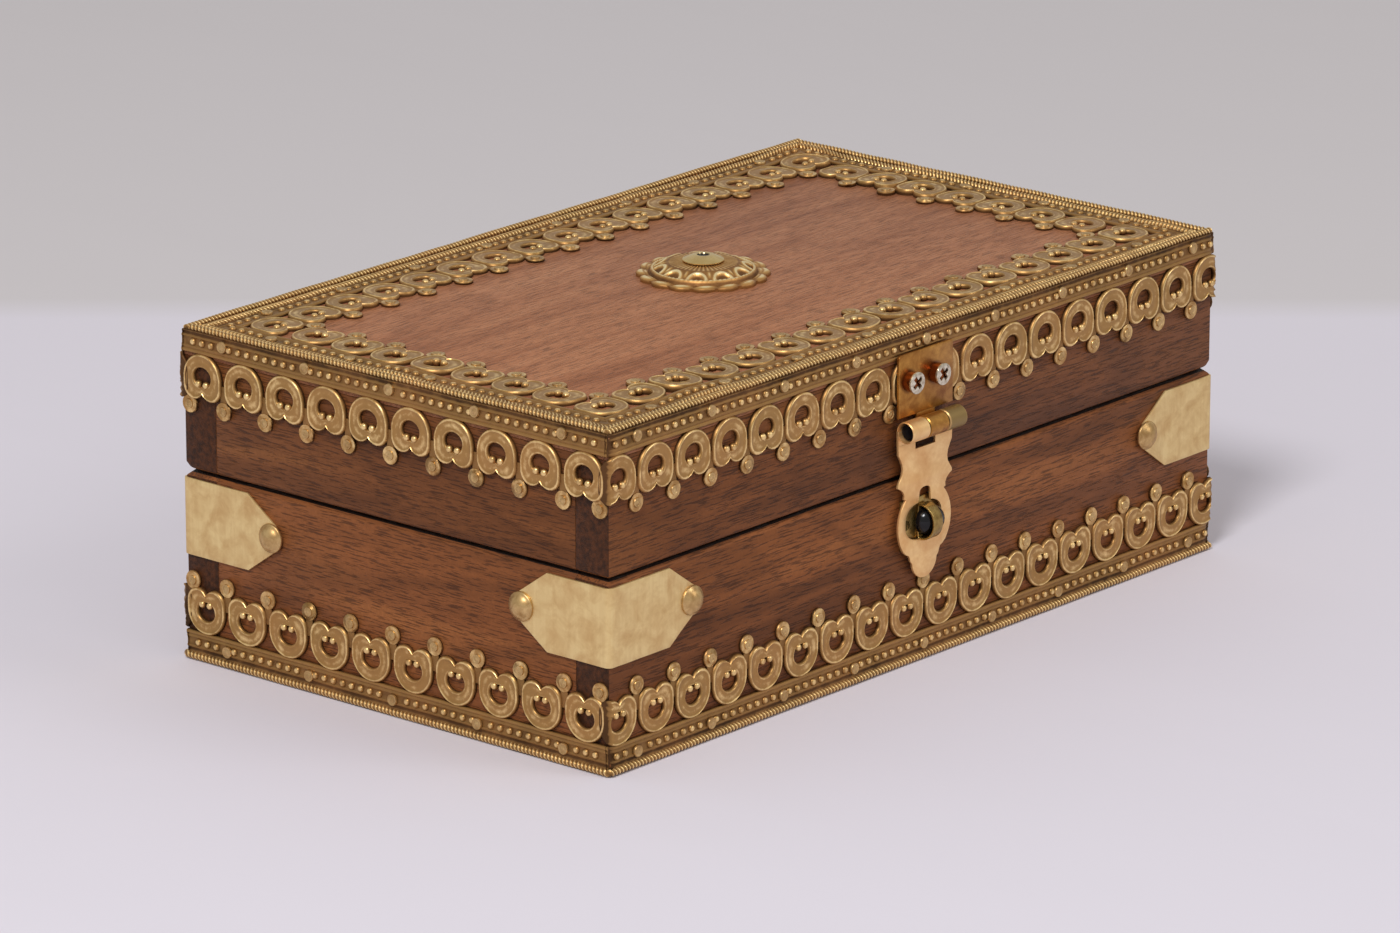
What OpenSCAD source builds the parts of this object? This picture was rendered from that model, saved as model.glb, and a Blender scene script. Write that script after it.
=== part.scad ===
/* [Wooden box] */
// Length of the wooden box along its long sides
wood_l = 200.6; // [160:0.1:280]
// Width of the wooden box from front to back
wood_w = 118.4; // [95:0.1:180]
// Height of the wooden base, up to the parting line
base_h = 42; // [40:0.1:80]
// Height of the wooden lid, from the parting line to its top
lid_h = 29.9; // [28:0.1:60]
// Thickness of the four walls of the base and of the lid
wall_t = 9; // [8:0.1:12]
// Thickness of the bottom board
bottom_t = 5; // [4.8:0.1:8]
// Thickness of the lid's top board
top_t = 5; // [4.8:0.1:8]
// Gap between the closed lid and the base
lid_gap = 0.2; // [0.1:0.05:0.4]
// Height of the wide chamfers beside the parting line, between which the hinge pins lie
groove_h = 1.4; // [0.8:0.1:1.6]
// Depth of these chamfers
groove_d = 1.6; // [1:0.1:2]
// Size of the small chamfers under the lid's front and left side
lid_ease = 0.5; // [0.2:0.1:0.8]
// Thickness of the velvet linings
lining_t = 1; // [0.5:0.1:2]
// Play between a lining and the walls round it
lining_play = 0.3; // [0.1:0.1:1]

/* [Brass strips] */
// Thickness of the pressed sheet
sheet_t = 0.5; // [0.3:0.05:0.7]
// Height of the rope edge over the wood
rope_h = 1.2; // [1:0.1:1.6]
// Width of the rope edge
rope_w = 1.6; // [1.2:0.1:1.8]
// Width of the band that carries the rope edge and the beads
band_w = 6.3; // [5.9:0.1:7]
// Width of the ledge at the band's inner edge
ledge_w = 0.6; // [0.4:0.1:0.8]
// Height of that ledge over the sheet
ledge_h = 0.2; // [0.1:0.05:0.4]
// Distance from the strip's edge to the middle of the bead row
bead_v = 3.9; // [3.7:0.1:4.1]
// Width of the bead row
bead_w = 1.2; // [0.8:0.1:1.4]
// Height of the bead row over the wood
bead_h = 1; // [0.8:0.1:1.2]
// Outer diameter of a ring
ring_d = 10.8; // [9.5:0.1:11.2]
// Width of the flat flange round a ring's raised face
ring_rim = 0.4; // [0.2:0.1:0.6]
// Diameter of a ring's opening
ring_hole_d = 5.2; // [4:0.1:5.6]
// How far the opening lies towards the band, from the ring's middle
ring_hole_shift = 0.5; // [0:0.1:0.8]
// Height of a ring over the wood
ring_h = 1.1; // [0.9:0.1:1.6]
// Wished distance from ring to ring, rounded to fit each side
ring_pitch = 11.5; // [11.3:0.1:13]
// Distance from a long side strip's end to the middle of its last ring
ring_end = 3.3; // [3.2:0.1:5.4]
// Radius of the two lobes at a ring's heart shaped end
lobe_r = 2.9; // [2.75:0.05:3.1]
// Distance from the ring's middle to the middle of its lobes
lobe_v = 1.95; // [1.5:0.05:2.1]
// Radius of an eyelet between two rings
eyelet_r = 2; // [1.8:0.1:2.4]
// Distance from the strip's edge to the eyelets
eyelet_v = 17.6; // [17.4:0.1:18.4]
// Width of the stem from an eyelet down between two rings
stem_w = 2; // [1.4:0.1:2.4]
// Distance from the strip's edge to the nails in the bead row
stud_v = 3.5; // [3.4:0.1:3.9]
// Height over the wood from which the lid's side strips are laid out downwards; their fold ends below it
side_lift = 2.1; // [1.6:0.1:2.4]
// Distance from the lid's edge to the middle of the rope that is folded over it
rope_over = 0.7; // [0.6:0.05:0.8]
// Height of the base strips over the ground
base_lift = 0.1; // [0:0.1:0.6]
// Distance of the top strips from the wood's edge
top_inset = 2; // [1:0.1:3]
// Extra gap on the lid's top between a corner ring and the short strip's first ring
corner_gap = 0.9; // [0.7:0.1:1.2]

/* [Strip nails] */
// Head diameter of the nails in the eyelets
nail_head_d = 3; // [2.4:0.1:3.2]
// Head diameter of the nails in the bead rows
stud_head_d = 2.6; // [2:0.1:2.8]
// Thickness of these nail heads
nail_head_h = 0.55; // [0.4:0.05:0.6]
// Shank diameter of these nails
nail_d = 1; // [0.8:0.1:1.2]
// Length of the shank below the head
nail_l = 4.4; // [3:0.1:4.6]

/* [Corner brackets] */
// Thickness of the bracket sheet
bracket_t = 0.6; // [0.4:0.1:1]
// Height of a bracket
bracket_h = 17; // [12:0.1:17.5]
// Distance from the parting line down to a bracket
bracket_drop = 1.7; // [1.7:0.1:3]
// Straight part of a bracket's longer arm
long_arm = 18.5; // [14:0.1:26]
// Straight part of a bracket's shorter arm
short_arm = 16.7; // [12:0.1:22]
// Length of the tapered tip of an arm
arm_tip = 8; // [6:0.1:10]
// Height of the blunt end of an arm
tip_h = 5.6; // [4:0.1:6]
// Distance from an arm's end back to its nail
tip_nail = 1.5; // [0.5:0.1:3]
// Diameter of the domed nail heads
dome_d = 6.4; // [5:0.1:7]
// Height of the domed nail heads
dome_h = 2; // [1.2:0.1:2.5]
// Shank diameter of the domed nails
dome_nail_d = 1.4; // [1:0.1:2]
// Shank length of the domed nails
dome_nail_l = 7; // [5:0.1:7.5]

/* [Latch] */
// Place of the latch's middle along the front
latch_x = -1.2; // [-30:0.1:30]
// Thickness of the latch sheet
latch_t = 0.65; // [0.5:0.05:0.8]
// Width of the hasp plate and of the strap
latch_w = 18; // [17:0.1:20]
// Height of the latch pin over the parting line
latch_pin_z = 10.8; // [10:0.1:12]
// Outer diameter of the latch barrel
barrel_d = 4.8; // [4.4:0.1:5.4]
// Diameter of the latch pin
latch_pin_d = 3.4; // [2:0.1:3.4]
// Length of the barrel's middle knuckle
knuckle_w = 6; // [5:0.1:7]
// Gap between two knuckles of the latch
knuckle_gap = 0.3; // [0.2:0.05:0.5]
// Height of the hasp plate above the barrel
plate_h = 14; // [12:0.1:15]
// Length of the strap below the pin
strap_l = 34; // [32:0.1:35]
// How much narrower each side of the strap is at its waist
strap_waist = 1.2; // [0.8:0.1:2]
// How much narrower each side is at the notches between the cusps and the bulb
strap_notch = 2.3; // [1.8:0.1:2.6]
// How much narrower each side of the strap's bulb is
strap_bulb = 0.2; // [0.1:0.1:0.4]
// Radius of the strap's rounded tip
strap_tip_r = 4; // [3.6:0.1:4.5]
// Gap between the barrel and the strap's shoulders
shoulder_gap = 0.7; // [0.5:0.1:1]
// Depth of the slot in the strap under the middle knuckle
shoulder_slot = 1.5; // [0.5:0.1:1.8]
// Height of the staple's middle over the parting line, as a negative number
staple_z = -11; // [-12:0.1:-10.5]
// Sideways place of the staple, from the latch's middle
staple_dx = -0.4; // [-0.4:0.1:0.4]
// Width of the staple's band
staple_w = 3; // [2.4:0.1:3.2]
// Outer height of the staple
staple_h = 8; // [7.6:0.1:8]
// Thickness of the staple's band
staple_t = 1; // [0.6:0.1:1]
// Reach of the staple in front of the strap
staple_reach = 5.5; // [5.4:0.1:7]
// Outer radius of the staple's bends
staple_bend = 3.6; // [2:0.1:3.7]
// Width of the plate under the staple
staple_plate_w = 13; // [12:0.1:15]
// Height of the plate under the staple
staple_plate_h = 11; // [10:0.1:12]
// Thickness of the plate under the staple
staple_plate_t = 0.8; // [0.6:0.1:0.9]
// Distance from that plate's side to its nail
staple_nail_in = 1.6; // [1.4:0.1:2]
// Shank length of the staple's nails
staple_nail_l = 6; // [4:0.1:7]
// Diameter of the round hole in the strap
strap_hole_d = 10; // [9.8:0.1:11]
// How far the round hole's middle lies below the staple's middle
strap_hole_drop = 0.3; // [0.2:0.1:0.4]
// Width of the slot above that hole
strap_slot_w = 3.4; // [2.5:0.1:4]
// Height of the slot's end over the staple's middle
strap_slot_h = 7.3; // [7:0.1:7.6]
// Distance between the two hasp screws
hasp_screw_gap = 8.7; // [8:0.1:10]
// Height of the hasp screws over the latch pin
hasp_screw_v = 10.4; // [9.6:0.1:11.5]
// Sideways place of the hasp screws, from the latch's middle
hasp_screw_dx = -1.4; // [-1.5:0.1:1.5]
// Head diameter of the hasp screws
hasp_head_d = 5.2; // [4.6:0.1:5.6]
// Shank diameter of the hasp screws
hasp_screw_d = 3; // [2.4:0.1:3]
// How far the hasp screws stand in front of the plate
hasp_head_out = 2.6; // [2.4:0.1:3.4]
// How deep the hasp screws go into the wood
hasp_screw_in = 7.5; // [5:0.1:7.8]
// Height of the straight edge of a hasp screw's head
hasp_head_edge = 0.5; // [0.3:0.1:0.7]
// Height of the cone under a hasp screw's head
hasp_head_cone = 1.8; // [1.2:0.1:2]
// Length of the cross recess in a screw's head
cross_l = 2.8; // [2:0.1:3]
// Width of the cross recess
cross_w = 0.6; // [0.4:0.1:0.8]
// Depth of the cross recess
cross_deep = 0.9; // [0.4:0.1:0.9]

/* [Rosette] */
// Sideways place of the rosette on the lid
rosette_x = 3.5; // [-20:0.5:20]
// Place of the rosette from the lid's middle towards the back
rosette_y = 4.5; // [-10:0.5:10]
// Outer diameter of the rosette
rosette_d = 29; // [26:0.1:34]
// Number of lobes round the rosette
rosette_lobes = 16; // [10:1:24]
// Thickness of the rosette's sheet
rosette_t = 0.6; // [0.4:0.1:0.8]
// Height of the rosette's dome
rosette_h = 3.2; // [2.5:0.1:5]
// Diameter of the rosette's dome
rosette_dome_d = 21; // [18:0.1:22]
// Width of the bead ring round the dome
rosette_bead_w = 1.2; // [0.8:0.1:1.4]
// Diameter of the screw's wide head
rosette_head_d = 9; // [7:0.1:10]
// Height of the screw's wide head
rosette_head_h = 1.5; // [1:0.1:2]
// Shank diameter of the rosette screw
rosette_screw_d = 3; // [2:0.1:4]

/* [Butt hinges] */
// Distance from the box's end to the middle of each hinge
hinge_end = 38.3; // [38.3:0.1:50]
// Length of a hinge along the back
hinge_l = 24; // [20:0.1:30]
// Width of a leaf, from the pin inwards
leaf_w = 7; // [6:0.1:7]
// Thickness of a leaf
leaf_t = 0.8; // [0.6:0.1:1]
// Outer diameter of the hinge barrel
hinge_d = 3.6; // [3.2:0.1:4]
// Diameter of the hinge pin
hinge_pin_d = 1.6; // [1.2:0.1:1.8]
// Distance from the back face to the pin
hinge_in = 1; // [0.8:0.1:1.1]
// Head diameter of the hinge screws
leaf_head_d = 3.2; // [2.6:0.1:3.4]
// Shank diameter of the hinge screws
leaf_screw_d = 1.6; // [1.2:0.1:1.8]
// Length of the hinge screws
leaf_screw_l = 6; // [4:0.1:8]
// Distance from a hinge's end to its screw
leaf_screw_in = 4; // [3:0.1:4.5]

/* [Fits] */
// Radial clearance of a pin in its bore and of a shank in its hole
fit = 0.05; // [0.02:0.01:0.08]
// Clearance of a turning or let-in piece in its recess
recess_fit = 0.25; // [0.15:0.05:0.3]

/* [Hidden] */
$fn = 32;

// Colours
wood_side = [0.43, 0.26, 0.17];
wood_top = [0.58, 0.39, 0.29];
antique_brass = [0.66, 0.52, 0.29];
pale_brass = [0.80, 0.70, 0.44];
copper_gold = [0.76, 0.58, 0.37];
nickel = [0.78, 0.77, 0.72];
dark_steel = [0.12, 0.12, 0.14];
velvet = [0.40, 0.05, 0.09];

// Levels and half sizes
half_l = wood_l / 2;
half_w = wood_w / 2;
lid_z = base_h + lid_gap;
top_z = lid_z + lid_h;
eps = 0.01;

// Turn about +Z and distance from the middle of each side
FRONT = [0, half_w];
LEFT = [-90, half_l];
BACK = [180, half_w];
RIGHT = [90, half_l];

// Puts a piece, drawn with its outside towards -Y, on one side of the box
module on_side(side) {
    rotate([0, 0, side[0]])
        translate([0, -side[1], 0])
            children();
}

// Places of things spread evenly about the middle
function spread(n, pitch) = [for (i = [0:n - 1]) (i - (n - 1) / 2) * pitch];
// The places, drawn in where they would hang over the strip's ends
function kept_in(places, limit) = [for (u = places) max(-limit, min(limit, u))];
// Every second place
function alternate(places) = [for (i = [0:2:len(places) - 1]) places[i]];

// A ring reaches a little into its band, and stays clear of the band round the corner
ring_v = band_w + ring_d / 2 - 0.2;
corner_ring_v = band_w + ring_d / 2 + 0.1;

// Rings and eyelets of each kind of strip: [length, rings, eyelets, studs, mitred]
function long_side_strip(l) =
    let (inner = l - 2 * ring_end, n = max(3, round(inner / ring_pitch) + 1), p = inner / (n - 1))
    [l, spread(n, p), spread(n - 1, p), alternate(spread(n - 1, p)), false];
function short_side_strip(l) =
    let (n = max(3, round(l / ring_pitch)), p = l / n, e = kept_in(spread(n + 1, p), l / 2 - eyelet_r))
    [l, spread(n, p), e, alternate(spread(n - 1, p)), false];
function long_top_strip(l) =
    let (inner = l - 2 * corner_ring_v, n = max(3, round(inner / ring_pitch) + 1), p = inner / (n - 1))
    [l, spread(n, p), spread(n - 1, p), alternate(spread(n - 1, p)), true];
function short_top_strip(l) =
    let (inner = l - 2 * ring_v, n = max(3, round(inner / ring_pitch)), p = (inner - 2 * corner_gap) / n)
    [l, spread(n - 1, p), spread(n - 2, p), alternate(spread(n, p)), true];

LONG_SIDE = long_side_strip(wood_l + 2 * rope_h);
SHORT_SIDE = short_side_strip(wood_w);
LONG_TOP = long_top_strip(wood_l - 2 * top_inset);
SHORT_TOP = short_top_strip(wood_w - 2 * top_inset);

// Lengths of the folded edges: the short sides' edges end between the long ones
LONG_FOLD = wood_l - 2 * fit;
SHORT_FOLD = wood_w - 2 * (rope_over + rope_w / 2) - 2 * fit;

// Half a disc, on the side of the X axis that dir points to
module half_disc(r, dir) {
    intersection() {
        circle(r = r);
        translate([-r, dir > 0 ? 0 : -r])
            square([2 * r, r]);
    }
}

// A pierced ring: round towards the band, with two lobes and a cleft at its other end
module ring_face(rim) {
    r = ring_d / 2 - rim;
    difference() {
        union() {
            half_disc(r, -1);
            translate([-r, 0])
                square([2 * r, lobe_v]);
            for (s = [-1, 1])
                translate([s * (ring_d / 2 - lobe_r), lobe_v])
                    half_disc(lobe_r - rim, 1);
        }
        translate([0, -ring_hole_shift])
            circle(d = ring_hole_d);
    }
}

module ring_row(rings, rim) {
    for (u = rings)
        translate([u, ring_v])
            ring_face(rim);
}

// The pierced sheet that hangs from the band
module lace(rings, eyelets) {
    ring_row(rings, 0);
    difference() {
        for (u = eyelets) {
            translate([u, eyelet_v])
                circle(r = eyelet_r);
            translate([u - stem_w / 2, ring_v + lobe_v / 2])
                square([stem_w, eyelet_v - ring_v - lobe_v / 2]);
        }
        for (u = eyelets)
            translate([u, eyelet_v])
                circle(d = nail_d + 2 * fit);
    }
}

// Cross section of the band's flat part from v on: sheet, bead row and the ledge by the rings
module flat_section(v) {
    translate([v, 0])
        square([band_w - v, sheet_t]);
    translate([bead_v - bead_w / 2, 0])
        square([bead_w, bead_h]);
    translate([band_w - ledge_w, 0])
        square([ledge_w, sheet_t + ledge_h]);
}

// Cross section of a band that lies flat, with its rope edge
module band_section() {
    flat_section(0);
    intersection() {
        translate([rope_w / 2, rope_h - rope_w / 2])
            circle(d = rope_w);
        square([rope_w, rope_h]);
    }
}

// Cross section of the edge that is folded over the lid, where its rope lies
module fold_section() {
    reach = rope_over + rope_w / 4;
    translate([side_lift - sheet_t, -reach])
        square([sheet_t, reach + sheet_t]);
    translate([side_lift - rope_w / 2, -rope_over])
        circle(d = rope_w - 2 * fit);
}

// Runs a cross section along a strip
module along_u(l) {
    rotate([90, 0, 90])
        translate([0, 0, -l / 2])
            linear_extrude(l)
                children();
}

// Outline of the band seen from its front, with mitred ends where two bands meet
module band_plan(l, mitre) {
    polygon([[-l / 2, 0], [l / 2, 0], [l / 2 - mitre, band_w], [-l / 2 + mitre, band_w]]);
}

module band(l, mitre) {
    intersection() {
        along_u(l)
            band_section();
        linear_extrude(2 * rope_h)
            band_plan(l, mitre);
    }
}

// The band of a lid side strip, whose folded edge has a length of its own
module folded_band(l, fold_l) {
    along_u(l)
        flat_section(side_lift - sheet_t);
    along_u(fold_l)
        fold_section();
}

// Cuts a flat pattern off where its strip ends
module within_strip(l) {
    intersection() {
        children();
        translate([-l / 2, 0])
            square([l, eyelet_v + eyelet_r]);
    }
}

// A whole strip: u along X, v along Y from the rope edge, outside along Z. With a fold length it
// is folded over the lid's edge
module strip(kind, fold_l = 0) {
    l = kind[0];
    color(antique_brass)
    difference() {
        union() {
            if (fold_l > 0)
                folded_band(l, fold_l);
            else
                band(l, kind[4] ? band_w : 0);
            linear_extrude(sheet_t)
                within_strip(l)
                    lace(kind[1], kind[2]);
            linear_extrude(ring_h)
                within_strip(l)
                    ring_row(kind[1], ring_rim);
        }
        for (u = kind[3])
            translate([u, stud_v, 0]) {
                cylinder(d = nail_d + 2 * fit, h = 2 * rope_h, center = true);
                translate([0, 0, sheet_t])
                    cylinder(d = stud_head_d + 4 * fit, h = 2 * rope_h);
            }
    }
}

// Nails of one strip, in the strip's own frame
module strip_nails(kind) {
    color(pale_brass) {
        for (u = kind[2])
            translate([u, eyelet_v, sheet_t])
                flat_nail(nail_head_d);
        for (u = kind[3])
            translate([u, stud_v, sheet_t])
                flat_nail(stud_head_d);
    }
}

// A small nail with a flat head, standing on z = 0
module flat_nail(head_d) {
    cylinder(d = head_d, h = nail_head_h);
    translate([0, 0, -nail_l])
        cylinder(d = nail_d, h = nail_l + eps);
}

// The holes that a strip's nails leave in the wood
module strip_holes(kind) {
    depth = nail_l - sheet_t + 0.2;
    for (p = [for (u = kind[2]) [u, eyelet_v], for (u = kind[3]) [u, stud_v]])
        translate([p[0], p[1], -depth])
            cylinder(d = nail_d + 2 * fit, h = depth + 1);
}

// A base strip stands on its rope edge, a lid strip hangs from it
module as_base_strip(side) {
    on_side(side)
        translate([0, 0, base_lift])
            rotate([90, 0, 0])
                children();
}
module as_lid_strip(side) {
    on_side(side)
        translate([0, 0, top_z + side_lift])
            rotate([90, 180, 0])
                children();
}
module as_top_strip(side) {
    on_side(side)
        translate([0, top_inset, top_z])
            children();
}

// A chamfer of height h and depth d along the top or the bottom edge of one side
module chamfer(side, z, dir, h, d) {
    l = 2 * (half_l + half_w - side[1]);
    on_side(side)
        translate([-l / 2 - 1, 0, z])
            rotate([90, 0, 90])
                linear_extrude(l + 2)
                    polygon([
                        [-d / 2, -dir * h * 1.5],
                        [d * 1.5, dir * h / 2],
                        [-d / 2, dir * h / 2],
                    ]);
}

// The chamfers along the parting line on some of the box's sides
module chamfers(sides, z, dir, h, d) {
    for (side = sides)
        chamfer(side, z, dir, h, d);
}

// A wall board of the box: the long boards run through and cover the short ones
module wall(side, z0, z1) {
    through = side[1] == half_w;
    l = through ? wood_l : wood_w - 2 * wall_t;
    on_side(side)
        translate([-l / 2, 0, z0])
            cube([l, wall_t, z1 - z0]);
}

// The pin of a butt hinge
hinge_pin_y = half_w - hinge_in;
hinge_pin_z = base_h + lid_gap / 2;
module at_hinge(sign) {
    translate([sign * (half_l - hinge_end), hinge_pin_y, hinge_pin_z])
        children();
}
module along_x(d, l) {
    rotate([0, 90, 0])
        cylinder(d = d, h = l, center = true);
}

// The space that a hinge needs in the wood
module hinge_recess(sign) {
    at_hinge(sign) {
        along_x(hinge_d + 2 * recess_fit, hinge_l + 2 * recess_fit);
        translate([-hinge_l / 2 - fit, -leaf_w - fit, -leaf_t - lid_gap / 2])
            cube([hinge_l + 2 * fit, leaf_w + fit, 2 * leaf_t + lid_gap]);
        for (x = hinge_screw_places)
            translate([x, -leaf_screw_y, 0])
                cylinder(d = leaf_screw_d + 2 * fit, h = 2 * leaf_screw_l + 4 * lid_gap, center = true);
    }
}

hinge_screw_places = [-hinge_l / 2 + leaf_screw_in, hinge_l / 2 - leaf_screw_in];
// A leaf ends in the middle of the knuckle's wall
knuckle_wall_mid = (hinge_d + hinge_pin_d) / 4;
leaf_screw_y = (leaf_w + hinge_d / 2 + recess_fit) / 2;

// A leaf of a butt hinge: below the parting line with two knuckles, above it with one
module hinge_leaf(sign, up) {
    third = (hinge_l - 2 * recess_fit) / 3;
    color(antique_brass)
    at_hinge(sign)
        mirror([0, 0, up ? 1 : 0])
            difference() {
                union() {
                    translate([-hinge_l / 2, -leaf_w, -leaf_t - lid_gap / 2])
                        cube([hinge_l, leaf_w - knuckle_wall_mid, leaf_t]);
                    if (up)
                        along_x(hinge_d, third);
                    else
                        for (s = [-1, 1])
                            translate([s * (hinge_l - third) / 2, 0, 0])
                                along_x(hinge_d, third);
                }
                along_x(hinge_pin_d + 2 * fit, hinge_l + 2);
                if (up)
                    for (s = [-1, 1])
                        translate([s * (hinge_l + third) / 2 - s * third, 0, 0])
                            along_x(hinge_d + 2 * recess_fit, third + 2 * recess_fit);
                else
                    along_x(hinge_d + 2 * recess_fit, third + 2 * recess_fit);
                for (x = hinge_screw_places)
                    translate([x, -leaf_screw_y, -lid_gap / 2])
                        countersink(fit);
            }
}

// A countersunk hinge screw, head up at z = 0
module countersink(play) {
    translate([0, 0, -leaf_t])
        cylinder(d1 = leaf_screw_d + 2 * play, d2 = leaf_head_d + 2 * play, h = leaf_t);
    translate([0, 0, -leaf_screw_l])
        cylinder(d = leaf_screw_d + 2 * play, h = leaf_screw_l);
    if (play > 0)
        translate([0, 0, -eps])
            cylinder(d = leaf_head_d + 2 * play, h = 1);
}

// Both hinges' screws on one side of the parting line
module hinge_screws(up) {
    color(nickel)
    for (sign = [-1, 1])
        at_hinge(sign)
            mirror([0, 0, up ? 1 : 0])
                for (x = hinge_screw_places)
                    translate([x, -leaf_screw_y, -lid_gap / 2])
                        countersink(0);
}

module hinge_pins() {
    color(dark_steel)
    for (sign = [-1, 1])
        at_hinge(sign)
            along_x(hinge_pin_d, hinge_l);
}

// Everything that is cut out of the wood of the base
module base_cuts() {
    chamfers([FRONT, LEFT, BACK, RIGHT], base_h, 1, groove_h, groove_d);
    for (sign = [-1, 1])
        hinge_recess(sign);
    for (side = [FRONT, BACK])
        as_base_strip(side)
            strip_holes(LONG_SIDE);
    for (side = [LEFT, RIGHT])
        as_base_strip(side)
            strip_holes(SHORT_SIDE);
    bracket_shanks(2 * fit);
    staple_shanks(fit);
}

module base_wall(side) {
    color(wood_side)
    difference() {
        wall(side, bottom_t, base_h);
        base_cuts();
    }
}

module base_bottom_board() {
    color(wood_side)
    difference() {
        translate([-half_l, -half_w, 0])
            cube([wood_l, wood_w, bottom_t]);
        base_cuts();
    }
}

module lining(z) {
    l = wood_l - 2 * wall_t - 2 * lining_play;
    w = wood_w - 2 * wall_t - 2 * lining_play;
    color(velvet)
    translate([-l / 2, -w / 2, z])
        cube([l, w, lining_t]);
}

// Everything that is cut out of the wood of the lid
module lid_cuts() {
    chamfers([BACK, RIGHT], lid_z, -1, groove_h, groove_d);
    chamfers([FRONT, LEFT], lid_z, -1, lid_ease, lid_ease);
    for (sign = [-1, 1])
        hinge_recess(sign);
    for (side = [FRONT, BACK]) {
        as_lid_strip(side)
            strip_holes(LONG_SIDE);
        as_top_strip(side)
            strip_holes(LONG_TOP);
    }
    for (side = [LEFT, RIGHT]) {
        as_lid_strip(side)
            strip_holes(SHORT_SIDE);
        as_top_strip(side)
            strip_holes(SHORT_TOP);
    }
    hasp_shanks(2 * fit);
    rosette_shank(2 * fit);
}

module lid_wall(side) {
    color(wood_side)
    difference() {
        wall(side, lid_z, top_z - top_t);
        lid_cuts();
    }
}

module lid_top_board() {
    color(wood_top)
    difference() {
        translate([-half_l, -half_w, top_z - top_t])
            cube([wood_l, wood_w, top_t]);
        lid_cuts();
    }
}

module base_strip_nails() {
    for (side = [FRONT, BACK])
        as_base_strip(side)
            strip_nails(LONG_SIDE);
    for (side = [LEFT, RIGHT])
        as_base_strip(side)
            strip_nails(SHORT_SIDE);
}

module lid_strip_nails() {
    for (side = [FRONT, BACK])
        as_lid_strip(side)
            strip_nails(LONG_SIDE);
    for (side = [LEFT, RIGHT])
        as_lid_strip(side)
            strip_nails(SHORT_SIDE);
}

module top_strip_nails() {
    for (side = [FRONT, BACK])
        as_top_strip(side)
            strip_nails(LONG_TOP);
    for (side = [LEFT, RIGHT])
        as_top_strip(side)
            strip_nails(SHORT_TOP);
}

// The lid's front strip makes way for the hasp screws
module lid_front_strip() {
    color(antique_brass)
    difference() {
        as_lid_strip(FRONT)
            strip(LONG_SIDE, LONG_FOLD);
        hasp_shanks(4 * fit);
    }
}

// Corner brackets
bracket_mid = base_h - bracket_drop - bracket_h / 2;
long_nail_u = long_arm + arm_tip - tip_nail;
short_nail_u = short_arm + arm_tip - tip_nail;

// One arm of a bracket, on the outside of a side that looks towards -Y
module bracket_arm(arm, back_t) {
    rotate([90, 0, 0])
        linear_extrude(bracket_t)
            polygon([
                [-back_t, -bracket_h / 2], [arm, -bracket_h / 2],
                [arm + arm_tip, -tip_h / 2], [arm + arm_tip, tip_h / 2],
                [arm, bracket_h / 2], [-back_t, bracket_h / 2],
            ]);
}

// A bracket as it lies at the front left corner, the corner's edge at the origin
module bracket_shape() {
    difference() {
        union() {
            bracket_arm(long_arm, bracket_t);
            mirror([1, -1, 0])
                bracket_arm(short_arm, bracket_t);
        }
        translate([long_nail_u, 0, 0])
            rotate([90, 0, 0])
                cylinder(d = dome_nail_d + 2 * fit, h = 4 * bracket_t, center = true);
        translate([0, short_nail_u, 0])
            rotate([0, 90, 0])
                cylinder(d = dome_nail_d + 2 * fit, h = 4 * bracket_t, center = true);
    }
}

// The four brackets are one shape, turned a quarter from corner to corner
module at_corner(sx, sy) {
    turn = sx == sy ? 90 * (sx + 1) : 180 - 90 * sx;
    translate([sx * half_l, sy * half_w, bracket_mid])
        rotate(turn)
            children();
}

module bracket(sx, sy) {
    color(pale_brass)
    at_corner(sx, sy)
        bracket_shape();
}

// Places both nails of a bracket at the front left corner, shank towards -Z
module at_bracket_nails() {
    translate([long_nail_u, -bracket_t, 0])
        rotate([90, 0, 0])
            children();
    translate([-bracket_t, short_nail_u, 0])
        rotate([0, -90, 0])
            children();
}

module bracket_shanks(play) {
    for (sx = [-1, 1], sy = [-1, 1])
        at_corner(sx, sy)
            at_bracket_nails()
                translate([0, 0, -dome_nail_l - 0.2])
                    cylinder(d = dome_nail_d + play, h = dome_nail_l + 1);
}

dome_r = (dome_d * dome_d / 4 + dome_h * dome_h) / (2 * dome_h);
module dome_nail() {
    intersection() {
        translate([0, 0, dome_h - dome_r])
            sphere(r = dome_r, $fn = 64);
        cylinder(d = dome_d + 1, h = dome_h + 1);
    }
    translate([0, 0, -dome_nail_l])
        cylinder(d = dome_nail_d, h = dome_nail_l + eps);
}

module bracket_nails() {
    color(pale_brass)
    for (sx = [-1, 1], sy = [-1, 1])
        at_corner(sx, sy)
            at_bracket_nails()
                dome_nail();
}

// Latch planes, as distances in front of the wood
plate_back = rope_h;
plate_front = plate_back + latch_t;
latch_pin_out = plate_back + barrel_d / 2;
latch_z = hinge_pin_z + latch_pin_z;
plate_low = latch_z + barrel_d / 2 + knuckle_gap;
hasp_screw_z = latch_z + hasp_screw_v;
// Middle of the staple, and its nails
staple_mid = hinge_pin_z + staple_z;
staple_nail_x = staple_plate_w / 2 - staple_nail_in;
outer_knuckle_w = (latch_w - knuckle_w) / 2 - knuckle_gap;
strap_top = latch_z - barrel_d / 2 - shoulder_gap;

// A sheet cut to an outline in X and Z, lying from one plane to another in front of the wood
module front_sheet(near, far) {
    translate([latch_x, -half_w - near, 0])
        rotate([90, 0, 0])
            linear_extrude(far - near)
                children();
}

// Puts a cylinder of the latch's barrel on its pin
module barrel(x, d, l) {
    translate([latch_x + x, -half_w - latch_pin_out, latch_z])
        along_x(d, l);
}

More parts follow.
